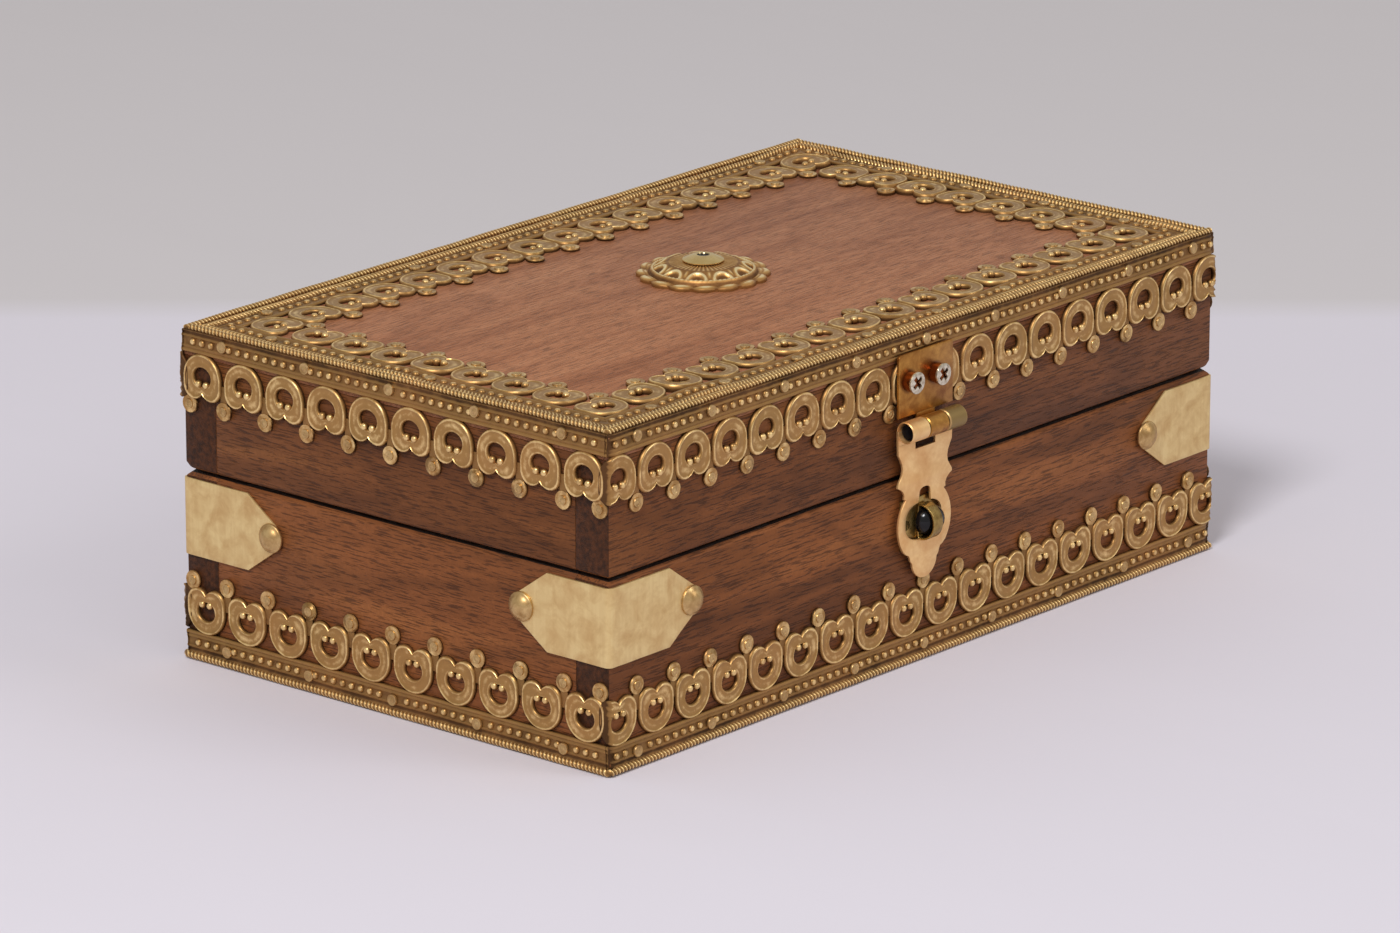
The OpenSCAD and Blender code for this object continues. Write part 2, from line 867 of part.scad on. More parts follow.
module hasp_plate() {
    color(copper_gold)
    difference() {
        union() {
            front_sheet(plate_back, plate_front) {
                translate([-latch_w / 2, plate_low])
                    square([latch_w, latch_z + barrel_d / 2 + plate_h - plate_low]);
                translate([-knuckle_w / 2, latch_z])
                    square([knuckle_w, plate_low - latch_z + eps]);
            }
            barrel(0, barrel_d, knuckle_w);
        }
        barrel(0, latch_pin_d + 2 * fit, latch_w);
        hasp_shanks(4 * fit);
    }
}

// Places the two hasp screws: the plate's front at z = 0, heads towards +Z
module at_hasp_screws() {
    for (s = [-1, 1])
        translate([
            latch_x + hasp_screw_dx + s * hasp_screw_gap / 2,
            -half_w - plate_front,
            hasp_screw_z,
        ])
            rotate([90, 0, 0])
                children();
}

module hasp_shanks(play) {
    depth = plate_front + hasp_screw_in + 0.2;
    at_hasp_screws()
        translate([0, 0, -depth])
            cylinder(d = hasp_screw_d + play, h = depth + 1);
}

module hasp_screws() {
    shank_l = plate_front + hasp_screw_in;
    color(nickel)
    at_hasp_screws()
        difference() {
            union() {
                translate([0, 0, -shank_l])
                    cylinder(d = hasp_screw_d, h = shank_l + hasp_head_out - hasp_head_edge - eps);
                translate([0, 0, hasp_head_out - hasp_head_edge - hasp_head_cone])
                    cylinder(d1 = hasp_screw_d, d2 = hasp_head_d, h = hasp_head_cone);
                translate([0, 0, hasp_head_out - hasp_head_edge])
                    cylinder(d = hasp_head_d, h = hasp_head_edge);
            }
            translate([0, 0, hasp_head_out])
                rotate(45)
                    cross_recess();
        }
}

// The cross recess of a screw whose head ends at z = 0
module cross_recess() {
    for (a = [0, 90])
        rotate(a)
            translate([-cross_l / 2, -cross_w / 2, -cross_deep])
                cube([cross_l, cross_w, 2 * cross_deep]);
}

// Levels of the strap's outline: waist, cusps, notches, bulb and neck
waist_z = hinge_pin_z + 3;
cusp_z = hinge_pin_z - 1.6;
notch_z = staple_mid + 6.5;
bulb_z = staple_mid + 3;
tip_mid = latch_z - strap_l + strap_tip_r;

// Outline of the strap: shoulders, cusps, a round bulb and a rounded tip
module strap_outline() {
    half = latch_w / 2;
    bulb = half - 2 * strap_bulb;
    neck_z = tip_mid + strap_tip_r - 0.3;
    right = [
        [half, strap_top], [half - strap_waist, waist_z], [half, cusp_z],
        [half - strap_notch, notch_z], [bulb, bulb_z], [bulb, 2 * staple_mid - bulb_z + 2],
        [strap_tip_r + 0.7, neck_z],
    ];
    difference() {
        union() {
            polygon(concat(right, [for (i = [len(right) - 1:-1:0]) [-right[i][0], right[i][1]]]));
            translate([0, staple_mid])
                circle(r = half - strap_bulb);
            translate([0, tip_mid])
                circle(r = strap_tip_r);
            translate([-strap_tip_r, tip_mid])
                square([2 * strap_tip_r, strap_tip_r + 1]);
        }
        translate([0, staple_mid - strap_hole_drop])
            circle(d = strap_hole_d);
        translate([-strap_slot_w / 2, staple_mid])
            square([strap_slot_w, strap_slot_h - strap_slot_w / 2]);
        translate([0, staple_mid + strap_slot_h - strap_slot_w / 2])
            circle(d = strap_slot_w);
        translate([-knuckle_w / 2 - knuckle_gap, strap_top - shoulder_slot])
            square([knuckle_w + 2 * knuckle_gap, shoulder_slot + eps]);
    }
}

module hasp_strap() {
    arm_x = knuckle_w / 2 + knuckle_gap + outer_knuckle_w / 2;
    color(copper_gold)
    difference() {
        union() {
            front_sheet(plate_back, plate_front) {
                strap_outline();
                for (s = [-1, 1])
                    translate([s * arm_x - outer_knuckle_w / 2, strap_top - eps])
                        square([outer_knuckle_w, latch_z - strap_top + eps]);
            }
            for (s = [-1, 1])
                barrel(s * arm_x, barrel_d, outer_knuckle_w);
        }
        barrel(0, latch_pin_d + 2 * fit, latch_w + 2);
    }
}

// The pin's ends lie a little inside the barrel
module hasp_pin() {
    color(dark_steel)
    barrel(0, latch_pin_d, latch_w - 2);
}

// The staple: a band bent to an eye on a small plate
module staple() {
    out = plate_front + staple_reach;
    plate_dx = -staple_dx;
    color(antique_brass)
    translate([latch_x + staple_dx, -half_w, staple_mid])
        difference() {
            union() {
                rotate([90, 0, 0])
                    translate([plate_dx - staple_plate_w / 2, -staple_plate_h / 2, 0])
                        cube([staple_plate_w, staple_plate_h, staple_plate_t]);
                eye_block(staple_w, out, staple_h, staple_bend);
            }
            translate([0, -staple_plate_t, 0])
                eye_block(
                    2 * staple_w, out - staple_t - staple_plate_t,
                    staple_h - 2 * staple_t, staple_bend - staple_t);
            translate([-latch_x - staple_dx, half_w, -staple_mid])
                staple_shanks(fit);
        }
}

// A block rounded at its outer corners, across X
module eye_block(w, out, h, r) {
    rotate([90, 0, -90])
        translate([0, 0, -w / 2])
            linear_extrude(w)
                eye_outline(out, h, r);
}
module eye_outline(out, h, r) {
    translate([0, -h / 2])
        square([out - r, h]);
    translate([0, -h / 2 + r])
        square([out, h - 2 * r]);
    for (s = [-1, 1])
        translate([out - r, s * (h / 2 - r)])
            circle(r = r);
}

// Places the two countersunk nails of the staple's plate, heads towards +Z
module at_staple_nails() {
    for (s = [-1, 1])
        translate([latch_x + s * staple_nail_x, -half_w - staple_plate_t, staple_mid])
            rotate([90, 0, 0])
                children();
}
module staple_nail(play) {
    head_d = nail_d + 1.2 + 2 * play;
    translate([0, 0, -staple_plate_t])
        cylinder(d1 = nail_d + 2 * play, d2 = head_d, h = staple_plate_t);
    translate([0, 0, -staple_plate_t - staple_nail_l - play])
        cylinder(d = nail_d + 2 * play, h = staple_nail_l + staple_plate_t / 2);
    if (play > 0)
        translate([0, 0, -eps])
            cylinder(d = head_d, h = 1);
}
module staple_shanks(play) {
    at_staple_nails()
        staple_nail(play);
}
module staple_nails() {
    color(pale_brass)
    at_staple_nails()
        staple_nail(0);
}

// Rosette
module at_rosette() {
    translate([rosette_x, rosette_y, top_z])
        children();
}

module rosette() {
    lobe = rosette_d / 14;
    rim = rosette_d / 2 - lobe;
    dome = rosette_dome_d / 2;
    bead = dome + rosette_bead_w;
    t = rosette_t;
    color(antique_brass)
    at_rosette()
        difference() {
            union() {
                linear_extrude(t) {
                    circle(r = rim + lobe * 0.3);
                    for (i = [0:rosette_lobes - 1])
                        rotate(i * 360 / rosette_lobes)
                            translate([rim, 0])
                                circle(r = lobe);
                }
                rotate_extrude($fn = 96)
                    polygon([
                        [0, 0], [bead, 0], [bead, 2.2 * t], [dome, 2.2 * t],
                        [dome - 0.4, 1.6 * t], [dome * 0.8, rosette_h * 0.62],
                        [dome * 0.5, rosette_h], [0, rosette_h],
                    ]);
            }
            rotate_extrude($fn = 96)
                polygon([
                    [0, -1], [dome - t, -1], [dome - t, 0], [dome * 0.8 - t * 0.7, rosette_h * 0.62 - t],
                    [dome * 0.5 - t * 0.3, rosette_h - t], [0, rosette_h - t],
                ]);
            cylinder(d = rosette_screw_d + 4 * fit, h = 3 * rosette_h, center = true);
        }
}

// The rosette screw ends in the top board, in a blind hole
shank_end = -top_t + 0.7;
module rosette_shank(play) {
    at_rosette()
        translate([0, 0, shank_end - play])
            cylinder(d = rosette_screw_d + play, h = top_t + rosette_h);
}

module rosette_screw() {
    color(nickel)
    at_rosette()
        difference() {
            union() {
                translate([0, 0, shank_end])
                    cylinder(d = rosette_screw_d, h = rosette_h + eps - shank_end);
                translate([0, 0, rosette_h])
                    cylinder(d1 = rosette_head_d, d2 = rosette_head_d * 0.45, h = rosette_head_h, $fn = 64);
            }
            translate([0, 0, rosette_h + rosette_head_h])
                rotate(20)
                    cross_recess();
        }
}

base_wall(FRONT);  // base_front_board
base_wall(BACK);  // base_back_board
base_wall(LEFT);  // base_left_board
base_wall(RIGHT);  // base_right_board
base_bottom_board();
lining(bottom_t);  // base_lining
as_base_strip(FRONT) strip(LONG_SIDE);  // base_front_strip
as_base_strip(BACK) strip(LONG_SIDE);  // base_back_strip
as_base_strip(LEFT) strip(SHORT_SIDE);  // base_left_strip
as_base_strip(RIGHT) strip(SHORT_SIDE);  // base_right_strip
base_strip_nails();
bracket(-1, -1);  // bracket_front_left
bracket(1, -1);  // bracket_front_right
bracket(-1, 1);  // bracket_back_left
bracket(1, 1);  // bracket_back_right
bracket_nails();
staple();
staple_nails();
hinge_leaf(-1, false);  // hinge_left_base_leaf
hinge_leaf(1, false);  // hinge_right_base_leaf
hinge_screws(false);  // base_hinge_screws
hinge_pins();
lid_wall(FRONT);  // lid_front_board
lid_wall(BACK);  // lid_back_board
lid_wall(LEFT);  // lid_left_board
lid_wall(RIGHT);  // lid_right_board
lid_top_board();
lining(top_z - top_t - lining_t);  // lid_lining
lid_front_strip();
as_lid_strip(BACK) strip(LONG_SIDE, LONG_FOLD);  // lid_back_strip
as_lid_strip(LEFT) strip(SHORT_SIDE, SHORT_FOLD);  // lid_left_strip
as_lid_strip(RIGHT) strip(SHORT_SIDE, SHORT_FOLD);  // lid_right_strip
lid_strip_nails();
as_top_strip(FRONT) strip(LONG_TOP);  // top_front_strip
as_top_strip(BACK) strip(LONG_TOP);  // top_back_strip
as_top_strip(LEFT) strip(SHORT_TOP);  // top_left_strip
as_top_strip(RIGHT) strip(SHORT_TOP);  // top_right_strip
top_strip_nails();
rosette();
rosette_screw();
hasp_plate();
hasp_screws();
hinge_leaf(-1, true);  // hinge_left_lid_leaf
hinge_leaf(1, true);  // hinge_right_lid_leaf
hinge_screws(true);  // lid_hinge_screws
hasp_strap();
hasp_pin();
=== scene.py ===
# %% [markdown]
# # A brass-bound jewellery box
# The box is a small wooden chest with a hinged lid. Pressed brass strips with a rope edge, a row
# of beads and a row of pierced rings are nailed round every edge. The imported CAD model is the
# fixed frame: it gives every piece its place, and this script gives every piece its look.

# %% Load the frame
import bpy
import bmesh
import math
from mathutils import Matrix, Vector, noise


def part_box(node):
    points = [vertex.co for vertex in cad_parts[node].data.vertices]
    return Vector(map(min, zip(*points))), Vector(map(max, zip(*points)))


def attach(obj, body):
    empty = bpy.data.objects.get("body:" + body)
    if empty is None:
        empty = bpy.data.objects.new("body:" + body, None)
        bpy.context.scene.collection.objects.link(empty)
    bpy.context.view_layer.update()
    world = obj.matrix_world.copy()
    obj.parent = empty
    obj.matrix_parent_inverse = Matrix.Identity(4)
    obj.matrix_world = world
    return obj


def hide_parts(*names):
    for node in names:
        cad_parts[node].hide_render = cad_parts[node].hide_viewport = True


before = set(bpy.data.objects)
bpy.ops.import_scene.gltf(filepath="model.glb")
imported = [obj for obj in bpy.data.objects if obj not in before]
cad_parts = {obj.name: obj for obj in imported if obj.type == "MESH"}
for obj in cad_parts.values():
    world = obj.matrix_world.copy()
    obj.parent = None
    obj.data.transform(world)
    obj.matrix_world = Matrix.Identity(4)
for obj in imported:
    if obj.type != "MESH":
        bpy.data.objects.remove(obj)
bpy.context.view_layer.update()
print("CAD nodes:", len(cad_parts))

# %% [markdown]
# Everything below is drawn in millimetres, because the real sizes are small, and turned into
# metres once, when a piece is finished. The few driving sizes are read from the frame, so that
# the scene follows the CAD model.

# %% Sizes from the frame
MM = 0.001


def box_mm(node):
    low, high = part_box(node)
    return low / MM, high / MM


def board_span(*nodes):
    boxes = [box_mm(n) for n in nodes]
    return (Vector([min(b[0][i] for b in boxes) for i in range(3)]),
            Vector([max(b[1][i] for b in boxes) for i in range(3)]))


wood_low, wood_high = board_span("base_front_board", "base_back_board", "base_left_board")
HALF_L = wood_high.x
HALF_W = wood_high.y
TOP_Z = box_mm("lid_top_board")[1].z
PARTING_Z = (wood_high.z + box_mm("lid_front_board")[0].z) / 2
print(f"wood {2 * HALF_L:.1f} x {2 * HALF_W:.1f} mm, top at {TOP_Z:.1f}, parting at {PARTING_Z:.1f}")

# %% [markdown]
# A finished piece is one mesh object at the origin, in metres. It rides on a body of the frame,
# stands for the CAD node of the same name, and carries its finish as a material.

# %% Turning a bmesh into a finished piece
MERGE = 0.0005
FINE_MERGE = 0.0002


def mesh_from(bm, name, smooth_angle=40):
    bmesh.ops.scale(bm, vec=(MM, MM, MM), verts=bm.verts)
    mesh = bpy.data.meshes.new(name)
    bm.to_mesh(mesh)
    bm.free()
    mesh.shade_smooth()
    mesh.set_sharp_from_angle(angle=math.radians(smooth_angle))
    return mesh


def piece(name, bm, body, material, smooth_angle=40):
    obj = bpy.data.objects.new(name, mesh_from(bm, name, smooth_angle))
    bpy.context.scene.collection.objects.link(obj)
    obj.data.materials.append(material)
    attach(obj, body)
    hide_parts(name.removesuffix("_look"))
    print(f"{name}: {len(obj.data.polygons)} faces")
    return obj


def outward(bm, merge=MERGE):
    bmesh.ops.remove_doubles(bm, verts=bm.verts, dist=merge)
    bmesh.ops.recalc_face_normals(bm, faces=bm.faces)


def soften(bm, edges, width, segments=2):
    bmesh.ops.bevel(bm, geom=edges, offset=width, affect="EDGES", segments=segments, profile=0.5, material=-1)


def centred_cube(bm, size, centre):
    verts = bmesh.ops.create_cube(bm, size=1)["verts"]
    bmesh.ops.scale(bm, verts=verts, vec=size)
    bmesh.ops.translate(bm, verts=verts, vec=centre)


# %% [markdown]
# ## Camera
# The camera was fitted to the straight edges of the box in the photograph, which fixes its
# place, its direction and a long lens. Directions are compass-like: an azimuth turns about the
# upright axis, and an elevation lifts the eye over the floor.

# %% Camera
AZIMUTH = math.radians(-49.458)
ELEVATION = math.radians(17.131)
CAMERA_MM = Vector((-1257.15, -1072.89, 540.15))
LENS = 206.11

back = Vector((math.sin(AZIMUTH) * math.cos(ELEVATION),
               -math.cos(AZIMUTH) * math.cos(ELEVATION),
               math.sin(ELEVATION)))
right = Vector((math.cos(AZIMUTH), math.sin(AZIMUTH), 0))
up = back.cross(right)

camera_data = bpy.data.cameras.new("camera")
camera_data.lens = LENS
camera_data.sensor_width = 36
camera = bpy.data.objects.new("camera", camera_data)
bpy.context.scene.collection.objects.link(camera)
turn = Matrix((right, up, back)).transposed().to_4x4()
camera.matrix_world = Matrix.Translation(CAMERA_MM * MM) @ turn
bpy.context.scene.camera = camera
bpy.context.scene.view_settings.view_transform = "Standard"
print("camera distance:", round(CAMERA_MM.length), "mm")

# %% [markdown]
# A material is a small graph of nodes. These helpers add a node, link two sockets, and give the
# place that a pattern reads: the object's own coordinates, which may be drawn out along an axis.

# %% Nodes and links


def new_material(name):
    material = bpy.data.materials.new(name)
    material.use_nodes = True
    tree = material.node_tree
    return material, tree, tree.nodes["Principled BSDF"]


def node(tree, kind, **values):
    made = tree.nodes.new("ShaderNode" + kind)
    for key, value in values.items():
        setattr(made, key, value)
    return made


def join(tree, source, target):
    tree.links.new(source, target)


def feed(tree, value, socket):
    """Links a socket to another one, or gives it a plain value."""
    if hasattr(value, "links"):
        join(tree, value, socket)
    else:
        socket.default_value = value


def object_place(tree, scale=(1, 1, 1)):
    place = node(tree, "TexCoord")
    mapping = node(tree, "Mapping")
    mapping.inputs["Scale"].default_value = scale
    join(tree, place.outputs["Object"], mapping.inputs["Vector"])
    return mapping.outputs["Vector"]


def axes(tree, vector):
    """The X, Y and Z of a vector, as sockets."""
    split = node(tree, "SeparateXYZ")
    join(tree, vector, split.inputs[0])
    return split.outputs


def arithmetic(tree, operation, first, second=0.0):
    made = node(tree, "Math", operation=operation)
    feed(tree, first, made.inputs[0])
    feed(tree, second, made.inputs[1])
    return made.outputs[0]


def map_range(tree, value, low, high, to_low, to_high):
    """Maps low to high onto to_low to to_high, and holds the value beyond the ends."""
    made = node(tree, "MapRange")
    for name, number in (("From Min", low), ("From Max", high), ("To Min", to_low), ("To Max", to_high)):
        made.inputs[name].default_value = number
    join(tree, value, made.inputs["Value"])
    return made.outputs["Result"]


# %% [markdown]
# The finishes here share a few building blocks: a noise, a ramp of colours over it, a mask that
# goes from black to white between two levels, a blend of two colours, and a bump. Colours are
# written as they are seen on a screen, and turned into the linear values that Blender reckons in.

# %% Colours, noise and bump


def srgb(r, g, b):
    def linear(c):
        c /= 255
        return c / 12.92 if c <= 0.04045 else ((c + 0.055) / 1.055) ** 2.4
    return (linear(r), linear(g), linear(b), 1)


def noise_of(tree, place, scale, detail, roughness, distortion=0):
    made = node(tree, "TexNoise")
    made.inputs["Scale"].default_value = scale
    made.inputs["Detail"].default_value = detail
    made.inputs["Roughness"].default_value = roughness
    made.inputs["Distortion"].default_value = distortion
    join(tree, place, made.inputs["Vector"])
    return made.outputs["Fac"]


def ramp(tree, factor, *stops):
    made = node(tree, "ValToRGB")
    elements = made.color_ramp.elements
    while len(elements) < len(stops):
        elements.new(0.5)
    for element, (position, colour) in zip(elements, stops):
        element.position = position
        element.color = colour
    join(tree, factor, made.inputs["Fac"])
    return made.outputs["Color"]


def blend_colour(tree, factor, first, second):
    made = node(tree, "Mix", data_type="RGBA")
    colour_sockets = [s for s in made.inputs if s.type == "RGBA"]
    feed(tree, factor, next(s for s in made.inputs if s.type == "VALUE" and s.enabled))
    feed(tree, first, colour_sockets[0])
    feed(tree, second, colour_sockets[1])
    return next(s for s in made.outputs if s.type == "RGBA")


def grey_steps(tree, factor, low, high):
    return ramp(tree, factor, (low, (0, 0, 0, 1)), (high, (1, 1, 1, 1)))


def tinted(tree, mask, share, colour, tint):
    """Mixes a share of a tint into a colour where the mask is 0."""
    return blend_colour(tree, mask, blend_colour(tree, share, colour, tint), colour)


def bump(tree, shader, height, distance, strength):
    made = node(tree, "Bump")
    made.inputs["Distance"].default_value = distance
    made.inputs["Strength"].default_value = strength
    join(tree, height, made.inputs["Height"])
    join(tree, made.outputs["Normal"], shader.inputs["Normal"])


# %% [markdown]
# ## Wood
# The box is made of a reddish brown hardwood with dark streaks and short open pores. The
# streaks are a noise stretched along the grain, and the pores a much finer one. Each board gets
# the same graph with its own direction of grain. The long boards cover the ends of the short
# ones, so their end grain shows on the short faces as a dark upright stripe, which the graph
# finds by the direction that a face looks in. The bevel of the base's boards beside the parting
# line gets painted shade, as under the lid's edge.

# %% Wood patterns
STREAK_STRETCH = 14
FIGURE_ALONG = 0.22
PORE_ALONG = 0.07
BASE_TOP = box_mm("base_front_board")[1].z
# Painted shade under the lid's edge: a dark band on the base's bevel beside the parting line.
SHADE_LOW, SHADE_HIGH = BASE_TOP - 0.7, BASE_TOP - 0.04
SHADE_WIDTH = 1.55
PARTING_SHADE = srgb(26, 14, 8)
PORE_BROWN = srgb(34, 17, 9)


def along_grain(grain_axis, share):
    """A scale that draws a pattern out along one axis: the smaller the share, the longer."""
    scale = [1.0, 1.0, 1.0]
    scale[grain_axis] = share
    return scale


def parting_shade_mask(tree):
    """1 on the upper part of the base's wide bevel, where painted shade from the lid's edge goes."""
    place = axes(tree, object_place(tree))
    over = arithmetic(tree, "GREATER_THAN", place["Z"], SHADE_LOW * MM)
    under = arithmetic(tree, "LESS_THAN", place["Z"], SHADE_HIGH * MM)
    outer = []
    for axis, half in (("X", HALF_L), ("Y", HALF_W)):
        aside = arithmetic(tree, "ABSOLUTE", place[axis])
        outer.append(arithmetic(tree, "GREATER_THAN", aside, (half - SHADE_WIDTH) * MM))
    beside = arithmetic(tree, "MAXIMUM", *outer)
    return arithmetic(tree, "MULTIPLY", arithmetic(tree, "MULTIPLY", over, under), beside)


def figure_mask(tree, grain_axis):
    """0 along the dark lines that wander through the boards: the turns of one slow noise."""
    place = object_place(tree, along_grain(grain_axis, FIGURE_ALONG))
    hills = noise_of(tree, place, 16, 1.5, 0.4, 0.3)
    turns = arithmetic(tree, "SINE", arithmetic(tree, "MULTIPLY", hills, 90))
    return grey_steps(tree, arithmetic(tree, "ADD", turns, 1.0), 0.03, 0.3)


def end_grain_over(tree, colour):
    """The dark end grain on every face that looks along X."""
    ends = noise_of(tree, object_place(tree), 900, 3, 0.6)
    end_colour = ramp(tree, ends, (0.35, srgb(50, 27, 12)), (0.65, srgb(84, 46, 21)))
    facing = axes(tree, node(tree, "TexCoord").outputs["Normal"])
    end_mask = arithmetic(tree, "GREATER_THAN", arithmetic(tree, "ABSOLUTE", facing["X"]), 0.8)
    return blend_colour(tree, end_mask, colour, end_colour)


# The band of painted shade on the base's bevel.
print(f"painted shade from {SHADE_LOW:.2f} to {SHADE_HIGH:.2f} mm")

# %% Wood finish


def wood(name, grain_axis, dark, middle, light,
         streak_scale=95, pore_strength=0.6, shift=0.0, end_grain=False):
    material, tree, shader = new_material(name)
    moved = node(tree, "VectorMath", operation="ADD")
    join(tree, object_place(tree, along_grain(grain_axis, 1 / STREAK_STRETCH)), moved.inputs[0])
    moved.inputs[1].default_value = (shift, shift * 0.7, shift * 1.3)
    streaks = moved.outputs[0]

    broad = noise_of(tree, streaks, streak_scale, 4, 0.6, 0.6)
    colour = ramp(tree, broad, (0.30, dark), (0.50, middle), (0.72, light))
    lines = noise_of(tree, streaks, streak_scale * 4.5, 3, 0.6, 0.3)
    colour = tinted(tree, grey_steps(tree, lines, 0.36, 0.60), 0.22, colour, dark)
    colour = tinted(tree, figure_mask(tree, grain_axis), 0.38, colour, dark)

    pore_place = object_place(tree, along_grain(grain_axis, PORE_ALONG))
    pore_mask = grey_steps(tree, noise_of(tree, pore_place, 2900, 2, 0.6), 0.38, 0.48)
    speckle = noise_of(tree, object_place(tree), 1300, 3, 0.7)
    colour = tinted(tree, grey_steps(tree, speckle, 0.35, 0.65), 0.3, colour, dark)
    colour = tinted(tree, pore_mask, pore_strength, colour, PORE_BROWN)
    blotches = noise_of(tree, object_place(tree), 28, 2, 0.5)
    colour = tinted(tree, grey_steps(tree, blotches, 0.35, 0.68), 0.14, colour, dark)
    if end_grain:
        colour = end_grain_over(tree, colour)
    # Painted shade on the base's bevel, under the lid's edge.
    colour = blend_colour(tree, parting_shade_mask(tree), colour, PARTING_SHADE)

    join(tree, colour, shader.inputs["Base Color"])
    join(tree, map_range(tree, lines, 0, 1, 0.56, 0.42), shader.inputs["Roughness"])
    shader.inputs["Specular IOR Level"].default_value = 0.2
    relief = arithmetic(tree, "ADD", pore_mask, arithmetic(tree, "MULTIPLY", lines, 0.5))
    bump(tree, shader, relief, 0.00012, 0.6)
    return material


BASE_TONES = (srgb(98, 56, 28), srgb(142, 84, 44), srgb(162, 100, 53))
# The lid's sides take a darker copy of the base's tones, as painted shade, and the lid's top a lighter set,
# as painted light from above.
LID_LONG_SHADED_TONES = (srgb(84, 47, 22), srgb(128, 75, 38), srgb(146, 90, 46))
LID_SHORT_SHADED_TONES = (srgb(84, 47, 22), srgb(126, 75, 38), srgb(144, 90, 46))
LID_TOP_LIT_TONES = (srgb(140, 87, 58), srgb(170, 113, 79), srgb(183, 126, 90))
wood_long = wood("wood_long_sides", 0, *BASE_TONES, end_grain=True)
wood_short = wood("wood_short_sides", 1, *BASE_TONES, shift=0.31)
shaded_lid_long = wood("wood_lid_long", 0, *LID_LONG_SHADED_TONES, shift=0.05, end_grain=True)
shaded_lid_short = wood("wood_lid_short", 1, *LID_SHORT_SHADED_TONES, shift=0.42)
lit_wood_lid = wood("wood_lid_top", 0, *LID_TOP_LIT_TONES, streak_scale=150, pore_strength=0.45, shift=0.12)
print("wood finishes:", ", ".join(m.name for m in (wood_long, wood_short, shaded_lid_long, shaded_lid_short, lit_wood_lid)))

# %% [markdown]
# ## Brass and steel
# The strips are brass with an antique finish: a brown patina stays in the recesses, and the
# raised parts are rubbed bright. Every strip carries an attribute, `relief`, that is 0 down at
# the wood and 1 at the top of the relief, and the finish reads it. The brackets, nails and latch
# are cleaner sheet brass with blotches of tarnish.

# %% Metal finishes
RUBBED_COPPER = srgb(206, 142, 88)


def patina_brass(name, *stops):
    """Antique brass: its colours go from the recesses to the rubbed tops."""
    material, tree, shader = new_material(name)
    relief = node(tree, "Attribute", attribute_name="relief").outputs["Fac"]
    uneven = arithmetic(tree, "SUBTRACT", noise_of(tree, object_place(tree), 420, 4, 0.6), 0.5)
    height = arithmetic(tree, "ADD", relief, arithmetic(tree, "MULTIPLY", uneven, 0.5))
    warm = noise_of(tree, object_place(tree), 70, 2, 0.5)
    plain = ramp(tree, height, *stops)
    colour = blend_colour(tree, grey_steps(tree, warm, 0.35, 0.7), plain,
                          blend_colour(tree, 0.2, plain, RUBBED_COPPER))
    join(tree, colour, shader.inputs["Base Color"])
    join(tree, map_range(tree, height, 0, 1, 0.6, 0.34), shader.inputs["Roughness"])
    shader.inputs["Metallic"].default_value = 0.8
    bump(tree, shader, noise_of(tree, object_place(tree), 1500, 3, 0.6), 0.00004, 0.5)
    return material


def sheet_metal(name, pale, deep, roughness, blotch_scale, stretch=(1, 1, 1), metallic=0.9):
    """Plain sheet or turned metal: pale and deep blotches under fine brushing."""
    material, tree, shader = new_material(name)
    blotch = noise_of(tree, object_place(tree), blotch_scale, 5, 0.62, 0.4)
    brush = noise_of(tree, object_place(tree, stretch), 1400, 2, 0.5)
    colour = ramp(tree, blotch, (0.32, deep), (0.62, pale))
    colour = tinted(tree, grey_steps(tree, brush, 0.42, 0.62), 0.18, colour, deep)
    join(tree, colour, shader.inputs["Base Color"])
    worn = map_range(tree, blotch, 0, 1, roughness + 0.12, roughness - 0.08)
    join(tree, worn, shader.inputs["Roughness"])
    shader.inputs["Metallic"].default_value = metallic
    bump(tree, shader, brush, 0.00003, 0.5)
    return material


strip_brass = patina_brass("antique_strip_brass",
                           (0.2, srgb(74, 50, 26)), (0.38, srgb(142, 106, 60)),
                           (0.86, srgb(174, 134, 78)), (1.04, srgb(248, 214, 150)))
rosette_brass = patina_brass("rosette_brass",
                             (0.05, srgb(92, 60, 30)), (0.35, srgb(156, 112, 62)),
                             (0.7, srgb(214, 168, 100)), (0.95, srgb(255, 234, 180)))
bracket_brass = sheet_metal("bracket_brass", srgb(238, 210, 150), srgb(212, 174, 116), 0.42, 210,
                            stretch=(1, 1, 0.05), metallic=0.75)
nail_brass = sheet_metal("nail_brass", srgb(218, 184, 128), srgb(172, 134, 84), 0.36, 420)
strap_brass = sheet_metal("strap_brass", srgb(252, 212, 150), srgb(228, 174, 112), 0.4, 150, metallic=0.75)
plate_brass = sheet_metal("plate_brass", srgb(204, 150, 74), srgb(140, 86, 36), 0.34, 190)
staple_brass = sheet_metal("staple_brass", srgb(190, 160, 96), srgb(128, 100, 54), 0.26, 400)
hinge_brass = sheet_metal("hinge_brass", srgb(176, 146, 88), srgb(122, 96, 56), 0.38, 300)
pale_gold = sheet_metal("pale_gold", srgb(232, 204, 142), srgb(206, 174, 112), 0.24, 150)
nickel = sheet_metal("nickel", srgb(236, 226, 204), srgb(160, 142, 116), 0.2, 900)
hasp_nickel = sheet_metal("hasp_nickel", srgb(240, 232, 212), srgb(170, 152, 126), 0.2, 900)
dark_steel = sheet_metal("dark_steel", srgb(52, 56, 66), srgb(22, 24, 30), 0.3, 900)
# Painted shade: a near black glossy finish for the dome that fills the staple's eye.
eye_shade_black = sheet_metal("eye_shade_black", srgb(20, 18, 22), srgb(10, 9, 12), 0.14, 600, metallic=0.3)
print("materials so far:", len(bpy.data.materials))

